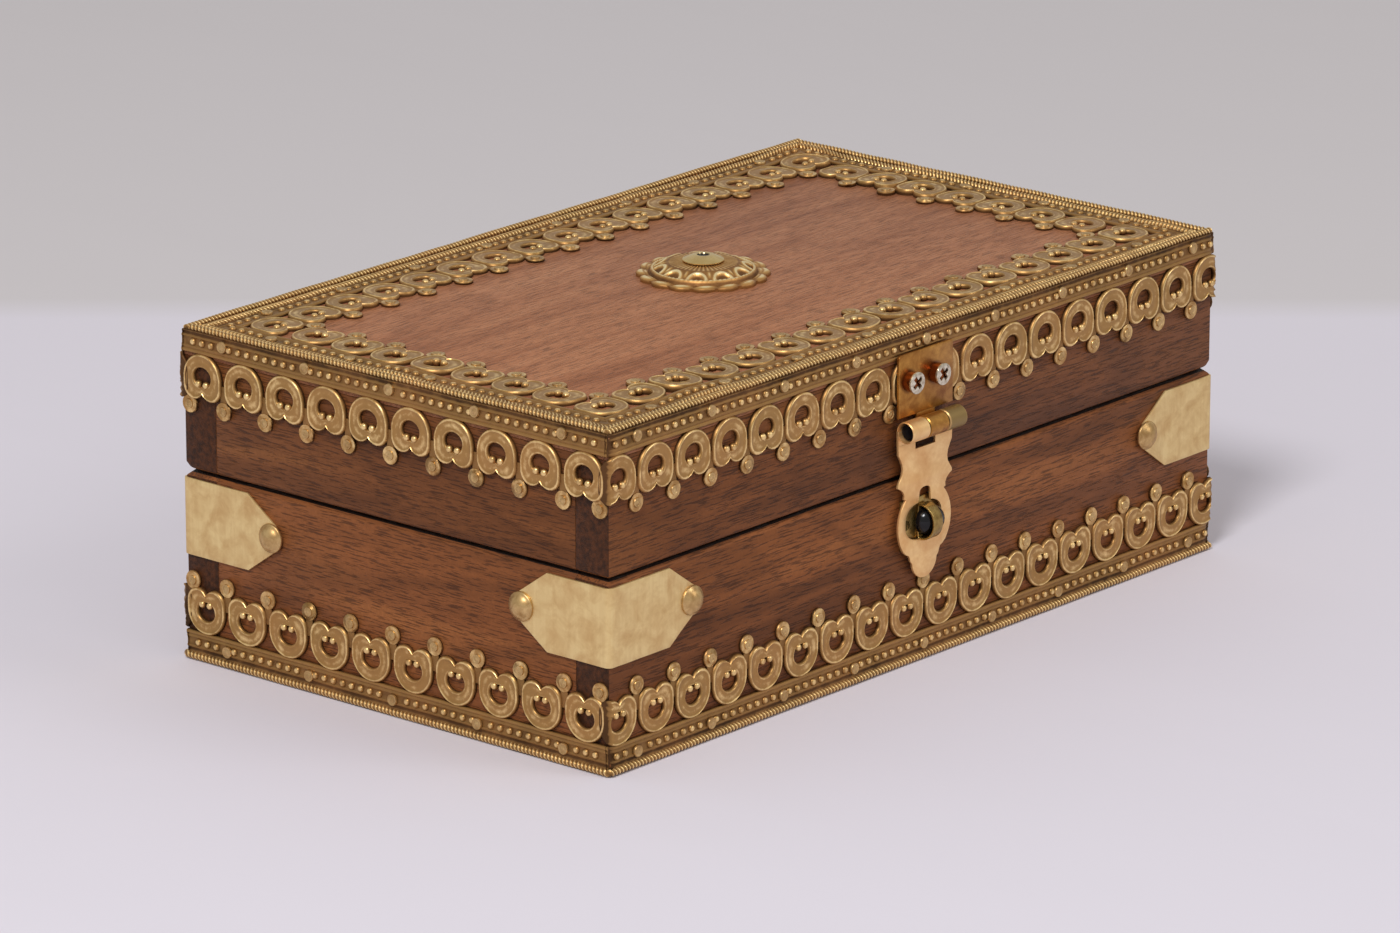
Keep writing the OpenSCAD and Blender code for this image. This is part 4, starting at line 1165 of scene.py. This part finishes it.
corner_x, corner_z = PLATE_HALF - PLATE_CORNER, PLATE_HIGH - PLATE_CORNER
plate_outline = (arc(corner_x, corner_z, PLATE_CORNER, 0, 90, 5)
                 + arc(-corner_x, corner_z, PLATE_CORNER, 90, 180, 5)
                 + [(-PLATE_HALF, PLATE_LOW), (PLATE_HALF, PLATE_LOW)])
bm = flat_brass([plate_outline], LATCH_T, LATCH_EDGE)
stand_up(bm)
join_mesh(bm, flap(0, PLATE_KNUCKLE, PIN_Z, PLATE_LOW + 0.3))
knuckle(bm, 0, PLATE_KNUCKLE)
outward(bm)
piece("hasp_plate_look", bm, "lid", plate_brass, smooth_angle=35)

# %% [markdown]
# The strap hangs from the pin. Its outline has a waist, two cusps, a round bulb and a rounded
# tip, and it has a keyhole that goes over the staple.

# %% Strap
staple_low, staple_high = box_mm("staple")
STAPLE_Z = (staple_low.z + staple_high.z) / 2
STRAP_TOP = 49.8
SLOT_HALF, SLOT_LOW = 3.3, 47.9
HOLE_X, HOLE_Z = -0.4, 31.7
HOLE_HALF_W, HOLE_HALF_H = 6.0, 4.1
NECK_HALF, NECK_TOP, NECK_ROUND = 1.85, 38.9, 1.5
STRAP_KNUCKLE, STRAP_KNUCKLE_X = 5.7, 6.15


def squarish(cx, cz, half_w, half_h, start, end, steps, power=0.78):
    """Part of a rounded opening between an ellipse and a rectangle."""
    points = []
    for i in range(steps + 1):
        angle = math.radians(start + (end - start) * i / steps)
        c, r = math.cos(angle), math.sin(angle)
        points.append((cx + half_w * math.copysign(abs(c) ** power, c),
                       cz + half_h * math.copysign(abs(r) ** power, r)))
    return points


waist_and_cusps = [(9.0, STRAP_TOP), (8.9, 47.6), (8.2, 46.4), (7.6, 45.2), (7.4, 44.0), (7.6, 42.9),
                   (8.3, 41.9), (9.0, 40.9), (9.0, 40.3), (8.2, 39.9), (7.3, 39.2), (6.8, 38.3), (6.9, 37.4)]
bulb = arc(0, STAPLE_Z, 8.8, 44, -38, 12)
tip = [(6.1, 25.0), (5.2, 24.6), (4.9, 24.0), (4.7, 23.3)] + arc(0, 22.9, 4.1, -4, -90, 8)
half_outline = waist_and_cusps + bulb + tip
slot = [(-SLOT_HALF, STRAP_TOP), (-SLOT_HALF, SLOT_LOW), (SLOT_HALF, SLOT_LOW), (SLOT_HALF, STRAP_TOP)]
outline = half_outline + [(-x, z) for x, z in reversed(half_outline[:-1])] + slot
opening = [(x, z) for x, z in squarish(HOLE_X, HOLE_Z, HOLE_HALF_W, HOLE_HALF_H, 90, 450, 60)
           if z < HOLE_Z or abs(x) > NECK_HALF + 0.1]
neck = squarish(0, NECK_TOP - NECK_ROUND, NECK_HALF, NECK_ROUND, 0, 180, 12)
bm = flat_brass([outline, opening + neck], LATCH_T, LATCH_EDGE)
stand_up(bm)
for x in (-STRAP_KNUCKLE_X, STRAP_KNUCKLE_X):
    join_mesh(bm, flap(x, STRAP_KNUCKLE, STRAP_TOP - 0.3, PIN_Z))
    knuckle(bm, x, STRAP_KNUCKLE)
outward(bm)
piece("hasp_strap_look", bm, "hasp", strap_brass, smooth_angle=35)

# %% [markdown]
# The two screws stand out of the plate, as if they had met something hard. Each head is a disc
# with a cross cut through it, on a cone that closes the cross from below.

# %% Hasp screws
screws_low, screws_high = box_mm("hasp_screws")
HEAD_R = (screws_high.z - screws_low.z) / 2
SCREW_Z = (screws_high.z + screws_low.z) / 2
SCREW_XS = (screws_low.x + HEAD_R, screws_high.x - HEAD_R)
HEAD_OUT = -HALF_W - LATCH_FRONT - screws_low.y
HEAD_T = 0.62
LOOK_R = HEAD_R - 0.22
CROSS_HALF = 1.5
CROSS_WIDTH = 0.45
CROSS_TURN = 38


def cross_outline():
    a, b = CROSS_HALF, CROSS_WIDTH
    corners = [(a, -b), (a, b), (b, b), (b, a), (-b, a), (-b, b),
               (-a, b), (-a, -b), (-b, -b), (-b, -a), (b, -a), (b, -b)]
    turn = Matrix.Rotation(math.radians(CROSS_TURN), 2)
    return [tuple(turn @ Vector(corner)) for corner in corners]


def head_profile(radius):
    """Radius and height over the plate: the head's underside, its rim and the cone below."""
    under = HEAD_OUT - 0.85
    return [(0, under), (radius - 0.45, under), (radius - 0.02, under + 0.4), (radius - 0.02, under + 0.3),
            (radius - 0.1, under - 0.4), (2.1, -0.1), (1.5, -0.4), (0, -0.4)]


bm = bmesh.new()
for screw_x in SCREW_XS:
    head = flat_brass([arc(0, 0, LOOK_R, 0, 352.5, 47), cross_outline()], HEAD_T, 0.16)
    bmesh.ops.translate(head, verts=head.verts, vec=(0, 0, HEAD_OUT - HEAD_T / 2))
    for vert in head.verts:
        vert.co.z -= 0.12 * math.hypot(vert.co.x, vert.co.y) / LOOK_R
    cone = bmesh.new()
    spun(cone, head_profile(LOOK_R), 32)
    join_mesh(head, cone)
    bmesh.ops.transform(head, matrix=facing_front(screw_x, LATCH_FRONT, SCREW_Z), verts=head.verts)
    join_mesh(bm, head)
bmesh.ops.recalc_face_normals(bm, faces=bm.faces)
piece("hasp_screws_look", bm, "lid", hasp_nickel, smooth_angle=35)

# %% Painted shade on the latch, and a darker knuckle end


def cone_shade_mask(tree):
    """1 behind the heads' rims, where the cones get painted shade and a painted reflection of the brass
    plate.
    """
    place = axes(tree, object_place(tree))
    return arithmetic(tree, "GREATER_THAN", place["Y"], (screws_low.y + 0.6) * MM)


# Painted shade and a painted reflection of the brass plate: the cones behind the screw heads are brown.
darken_spot(hasp_nickel, cone_shade_mask, srgb(140, 74, 32))
# Painted shadow of each screw head on the plate, round the foot of its screw.
for screw_x in SCREW_XS:
    foot = (screw_x, -HALF_W - LATCH_FRONT, SCREW_Z)
    darken_spot(plate_brass, lambda tree: near_point(tree, foot, 2.0, 2.9), srgb(90, 46, 20))
knuckle_end = (LATCH_X + STRAP_KNUCKLE_X + 0.05, -HALF_W - PIN_OUT, PIN_Z)
darken_spot(strap_brass, lambda tree: near_point(tree, knuckle_end, 3.4, 3.9), srgb(150, 124, 76))
print("darkened:", hasp_nickel.name, plate_brass.name, strap_brass.name)

# %% [markdown]
# The staple is a brass band bent to a closed eye and joined to a small plate behind the strap.
# The band is a ring of edges along the bend, extruded across, thickened inwards and bevelled.

# %% Staple
BAND_OUT = 5.6
BAND_BACK = 0.85
BAND_HALF_H = 4.0
BAND_W = 3.0
BAND_T = 0.45
BACK_ROUND, FRONT_ROUND = 0.8, 3.85
EYE_Z = STAPLE_Z + 0.2
PLATE_SIZE = (13, 0.8, 11)


def band_path():
    """Distance from the wood and height round the eye, from the lower back corner on."""
    low, high = BAND_HALF_H - BACK_ROUND, BAND_HALF_H - FRONT_ROUND
    back_out, front_out = BAND_BACK + BACK_ROUND, BAND_OUT - FRONT_ROUND
    return (arc(back_out, -low, BACK_ROUND, 180, 270, 5) + arc(front_out, -high, FRONT_ROUND, 270, 360, 14)
            + arc(front_out, high, FRONT_ROUND, 0, 90, 14) + arc(back_out, low, BACK_ROUND, 90, 180, 5))


bm = bmesh.new()
verts = [bm.verts.new((LATCH_X - BAND_W / 2, -HALF_W - out, EYE_Z + z)) for out, z in band_path()]
edges = [bm.edges.new(pair) for pair in zip(verts, verts[1:] + verts[:1])]
grown = bmesh.ops.extrude_edge_only(bm, edges=edges)["geom"]
bmesh.ops.translate(bm, verts=verts_of(grown), vec=(BAND_W, 0, 0))
bmesh.ops.recalc_face_normals(bm, faces=bm.faces)
outer_face = min(bm.faces, key=lambda f: f.calc_center_median().y)
if outer_face.normal.y > 0:
    bmesh.ops.reverse_faces(bm, faces=bm.faces)
bmesh.ops.solidify(bm, geom=bm.faces[:], thickness=BAND_T)
soften(bm, rim_edges(bm), 0.15, segments=3)
plate = bmesh.new()
centred_cube(plate, PLATE_SIZE, (LATCH_X, -HALF_W - PLATE_SIZE[1] / 2, STAPLE_Z))
soften(plate, plate.edges[:], 0.2)
join_mesh(bm, plate)
outward(bm)
piece("staple_look", bm, "base", staple_brass, smooth_angle=35)

# %% [markdown]
# Inside the staple's eye lies a dark, glossy low dome on the back of the band. It is painted
# shade: a dark thing put where the eye's inside is in shade. The CAD model has no node for it,
# so it replaces nothing, and only rides on the base.

# %% Painted shade in the staple's eye
EYE_SHADE_SIZE = (4.0, 3.4, 3.4)
EYE_SHADE_ASIDE = 1.3
EYE_SHADE_OUT = 1.5

# A dark dome in the staple's eye, as painted shade.
bm = bmesh.new()
bmesh.ops.create_uvsphere(bm, u_segments=32, v_segments=16, radius=1)
bmesh.ops.scale(bm, verts=bm.verts, vec=EYE_SHADE_SIZE)
bmesh.ops.bisect_plane(bm, geom=everything(bm), plane_co=(0, 0.1, 0), plane_no=(0, 1, 0), clear_outer=True)
bmesh.ops.translate(bm, verts=bm.verts, vec=(LATCH_X + EYE_SHADE_ASIDE, -HALF_W - EYE_SHADE_OUT, EYE_Z))
eye_shade = bpy.data.objects.new("staple_eye_shade", mesh_from(bm, "staple_eye_shade"))
bpy.context.scene.collection.objects.link(eye_shade)
eye_shade.data.materials.append(eye_shade_black)
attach(eye_shade, "base")
print(f"staple_eye_shade: {len(eye_shade.data.polygons)} faces")

# %% [markdown]
# ## The rosette
# A pressed brass flower sits in the middle of the lid, under a wide screw head. From the middle
# outwards it has fine ribs on a flat dome, a row of arches down the dome's slope, a ring of rope
# and a rim of folded lobes. Two functions say this: the plain dome's height at a radius, and the
# small relief on it, with how bright that relief is rubbed.

# %% The rosette's relief
rosette_low, rosette_high = box_mm("rosette")
ROSETTE = Vector(((rosette_low.x + rosette_high.x) / 2, (rosette_low.y + rosette_high.y) / 2, TOP_Z))
ROSETTE_R = (rosette_high.x - rosette_low.x) / 2
LOBES = 16
LOBE_TURN = 0.07
ARCHES = 11
RIBS = 44
TWISTS = 66
HUB_R, RIBS_R, ARCADE_R, ROPE_RING_R, STEP_R = 3.6, 7.8, 10.6, 11.4, 11.8


def rosette_level(r):
    """The pressed dome without its small relief: flat at the hub, steep at the ring's foot."""
    if r < RIBS_R:
        return 3.1 - 0.15 * ((r - HUB_R) / (RIBS_R - HUB_R)) ** 2
    if r < ARCADE_R:
        return 2.95 - 1.4 * (r - RIBS_R) / (ARCADE_R - RIBS_R)
    if r < ROPE_RING_R:
        return 1.55
    if r < STEP_R:
        return 1.55 - 0.85 * (r - ROPE_RING_R) / (STEP_R - ROPE_RING_R)
    return 0.7


def bell(value, middle, width):
    """A smooth bump: 1 at the middle and near 0 two widths away."""
    return math.exp(-((value - middle) / width) ** 2)


def arch_relief(r, angle):
    across = (angle / (2 * math.pi) * ARCHES % 1 - 0.5) * 2 * math.pi * 9.4 / ARCHES
    bow = math.hypot(across, ARCADE_R - 0.2 - r)
    spur = 0.7 * bell(abs(across), 2.66, 0.3) * max(0, math.sin((r - RIBS_R) / 2.3 * math.pi))
    high = max(bell(bow, 1.8, 0.42), spur)
    hollow = 1 if bow < 1.45 else 0
    return 0.42 * high - 0.2 * hollow, 0.3 + 0.85 * high - 0.2 * hollow


def rope_ring_relief(r, angle):
    across = math.sin((r - ARCADE_R) / (ROPE_RING_R - ARCADE_R) * math.pi)
    twist = 0.5 + 0.5 * math.sin(TWISTS * angle + 5 * (r - ARCADE_R))
    return 0.4 * across * (0.7 + 0.3 * twist), 0.4 + 0.8 * across * (0.5 + 0.5 * twist)


def lobe_relief(r, angle):
    across = min(1, (r - STEP_R) / (ROSETTE_R - STEP_R))
    fold = abs(math.cos(LOBES / 2 * (angle + LOBE_TURN * across)))
    crest = math.sin(across * math.pi) ** 0.8
    crease = bell(across, 0.4, 0.1) * fold
    return 0.6 * fold ** 0.8 * crest - 0.25 * crease, 0.3 + 0.8 * fold * crest - 0.6 * crease


def rosette_relief(r, angle):
    """Height over the plain dome in mm, and how far the spot is rubbed bright, from 0 to 1."""
    if r < RIBS_R - 0.3:
        rib = math.cos(RIBS * angle)
        return 0.05 * rib, 0.5 + 0.28 * rib
    if r < ARCADE_R:
        return arch_relief(r, angle)
    if r < ROPE_RING_R:
        return rope_ring_relief(r, angle)
    if r < STEP_R:
        return 0.0, 0.1
    return lobe_relief(r, angle)


print("dome heights, mm:", [round(rosette_level(r), 2) for r in (HUB_R, RIBS_R, ARCADE_R, STEP_R)])

# %% [markdown]
# The relief is round a centre, so the mesh starts as the circle of the hub. An extrusion pushes
# that circle outwards ring by ring, and each point takes its height from the two functions. The
# rim is scalloped by drawing the points between two lobes in.

# %% Rosette
RINGS = 52
SCALLOP = 1.0

bm = new_strip()
relief = bm.verts.layers.float.get("relief")
loop = bmesh.ops.create_circle(bm, segments=ARCHES * 24, radius=HUB_R)["verts"]
edges = bm.edges[:]
for i in range(RINGS + 1):
    if i:
        grown = bmesh.ops.extrude_edge_only(bm, edges=edges)["geom"]
        loop, edges = verts_of(grown), edges_of(grown)
    radius = HUB_R + (ROSETTE_R - HUB_R) * i / RINGS
    past_step = max(0, (radius - STEP_R) / (ROSETTE_R - STEP_R))
    for vert in loop:
        angle = math.atan2(vert.co.y, vert.co.x)
        lobe = abs(math.cos(LOBES / 2 * (angle + LOBE_TURN)))
        height, bright = rosette_relief(radius, angle)
        placed = radius - SCALLOP * (1 - lobe) * past_step
        vert.co = (placed * math.cos(angle), placed * math.sin(angle), rosette_level(radius) + height)
        vert[relief] = max(0.05, min(1, bright))
for height in (0.35, 0.02):
    grown = bmesh.ops.extrude_edge_only(bm, edges=edges)["geom"]
    edges = edges_of(grown)
    for vert in verts_of(grown):
        vert.co.z = height
bmesh.ops.translate(bm, verts=bm.verts, vec=ROSETTE)
outward(bm, FINE_MERGE)
top_face = max(bm.faces, key=lambda f: f.calc_center_median().z)
if top_face.normal.z < 0:
    bmesh.ops.reverse_faces(bm, faces=bm.faces)
piece("rosette_look", bm, "lid", rosette_brass, smooth_angle=60)

# %% [markdown]
# The rosette's screw has a wide, low head with a small socket in its middle. The socket gets
# painted shade: a dark colour round that point.

# %% The rosette's screw
HEAD_UP = 3.2
SCREW_HEAD = [(0, 1.1), (1.2, 1.1), (1.4, 1.42), (1.75, 1.48), (2.2, 1.42),
              (4.3, 0.55), (4.5, 0.4), (4.5, 0.22), (4.2, 0.0), (0, 0)]

bm = bmesh.new()
spun(bm, SCREW_HEAD, 48)
bmesh.ops.translate(bm, verts=bm.verts, vec=ROSETTE + Vector((0, 0, HEAD_UP)))
piece("rosette_screw_look", bm, "lid", pale_gold, smooth_angle=40)
# Painted shade in the socket.
socket = ROSETTE + Vector((0, 0, HEAD_UP + 1.2))
darken_spot(pale_gold, lambda tree: near_point(tree, socket, 1.25, 1.5), srgb(70, 66, 62))

# %% [markdown]
# ## Velvet linings
# The inside isn't seen in the photograph. Boxes like this one are lined with velvet, so a cloth
# lies on the floor of the base and another is glued under the top board. Each is one sheet, with
# the small unevenness of glued cloth, and a sheen that catches light at a low angle.

# %% Linings
LINING_FACE = 0.3
velvet, tree, shader = new_material("velvet")
pile = noise_of(tree, object_place(tree), 60, 4, 0.6)
pile_red = ramp(tree, pile, (0.35, srgb(92, 12, 24)), (0.65, srgb(124, 22, 36)))
join(tree, pile_red, shader.inputs["Base Color"])
shader.inputs["Roughness"].default_value = 0.9
shader.inputs["Sheen Weight"].default_value = 0.6
shader.inputs["Sheen Roughness"].default_value = 0.4
bump(tree, shader, noise_of(tree, object_place(tree), 2600, 2, 0.5), 0.0001, 0.6)


def lining(name, body):
    low, high = box_mm(name)
    size = high - low
    bm = bmesh.new()
    bmesh.ops.create_grid(bm, x_segments=90, y_segments=50, size=0.5)
    bmesh.ops.scale(bm, verts=bm.verts, vec=(size.x, size.y, 1))
    level, up = (low.z + LINING_FACE, 1) if body == "base" else (high.z - LINING_FACE, -1)
    for vert in bm.verts:
        swell = 0.25 + 0.2 * noise.noise(Vector((vert.co.x / 14, vert.co.y / 14, level)))
        vert.co.z = level + up * swell
    if body == "lid":
        bmesh.ops.reverse_faces(bm, faces=bm.faces)
    obj = piece(name + "_look", bm, body, velvet)


lining("base_lining", "base")
lining("lid_lining", "lid")

# %% [markdown]
# ## CAD nodes that stay
# The screws with their cross recesses, the pins and the hinges have their true shape in the CAD
# model, so they stay, and only take a finish.

# %% Finishes for the CAD nodes that stay
STAYING = {
    "staple_nails": nickel, "hasp_pin": dark_steel, "hinge_pins": dark_steel,
    "base_hinge_screws": nickel, "lid_hinge_screws": nickel,
    "hinge_left_base_leaf": hinge_brass, "hinge_right_base_leaf": hinge_brass,
    "hinge_left_lid_leaf": hinge_brass, "hinge_right_lid_leaf": hinge_brass,
}
for name, finish in STAYING.items():
    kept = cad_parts[name]
    kept.data.materials.clear()
    kept.data.materials.append(finish)
print("CAD nodes that stay:", len(STAYING))

# %% [markdown]
# ## Floor and light
# The box stands on a white cloth in front of a grey wall. The floor is one large plane, a little
# darker beyond the line where the cloth ends in the photograph. The light is soft: one lamp in
# front, a little to the left, a weaker one from the right, and an even surround.

# %% Floor
CLOTH_END_M = (0.222, 0.240)
CLOTH_WHITE = srgb(219, 214, 224)
WALL_GREY = srgb(207, 202, 205)
floor_material, tree, shader = new_material("floor_cloth")
toward = node(tree, "VectorMath", operation="DOT_PRODUCT")
join(tree, object_place(tree), toward.inputs[0])
toward.inputs[1].default_value = (-math.sin(AZIMUTH), math.cos(AZIMUTH), 0)
far = map_range(tree, toward.outputs["Value"], *CLOTH_END_M, 0, 1)
join(tree, blend_colour(tree, far, CLOTH_WHITE, WALL_GREY), shader.inputs["Base Color"])
shader.inputs["Roughness"].default_value = 0.95
folds = noise_of(tree, object_place(tree, (1, 0.35, 1)), 9, 3, 0.5, 0.6)
bump(tree, shader, folds, 0.004, 0.35)
bm = bmesh.new()
bmesh.ops.create_grid(bm, x_segments=1, y_segments=1, size=4000)
floor = bpy.data.objects.new("floor", mesh_from(bm, "floor"))
bpy.context.scene.collection.objects.link(floor)
floor.data.materials.append(floor_material)
print("floor:", round(floor.dimensions.x), "m wide")

# %% Lights
LAMP_AIM = Vector((0, 0, 0.04))


def lamp(name, direction, distance, size, power):
    """A round soft lamp at a distance in metres, which shines at the box."""
    data = bpy.data.lights.new(name, "AREA")
    data.shape = "DISK"
    data.size = size
    data.energy = power
    obj = bpy.data.objects.new(name, data)
    bpy.context.scene.collection.objects.link(obj)
    direction = direction.normalized()
    obj.location = direction * distance + LAMP_AIM
    obj.rotation_mode = "QUATERNION"
    obj.rotation_quaternion = direction.to_track_quat("Z", "Y")
    print(f"{name}: {power} W from {distance} m")


level_back = Vector((back.x, back.y, 0)).normalized()
above = Vector((0, 0, 1))
lamp("key", -right * 0.25 + level_back * 0.8 + above * 0.95, 1.9, 0.5, 19)
lamp("fill", right * 0.9 + level_back * 0.3 + above * 0.7, 2.2, 0.9, 7)
world = bpy.data.worlds.new("surround")
bpy.context.scene.world = world
world.use_nodes = True
surround = world.node_tree.nodes["Background"]
surround.inputs["Color"].default_value = (1, 0.985, 0.96, 1)
surround.inputs["Strength"].default_value = 0.5
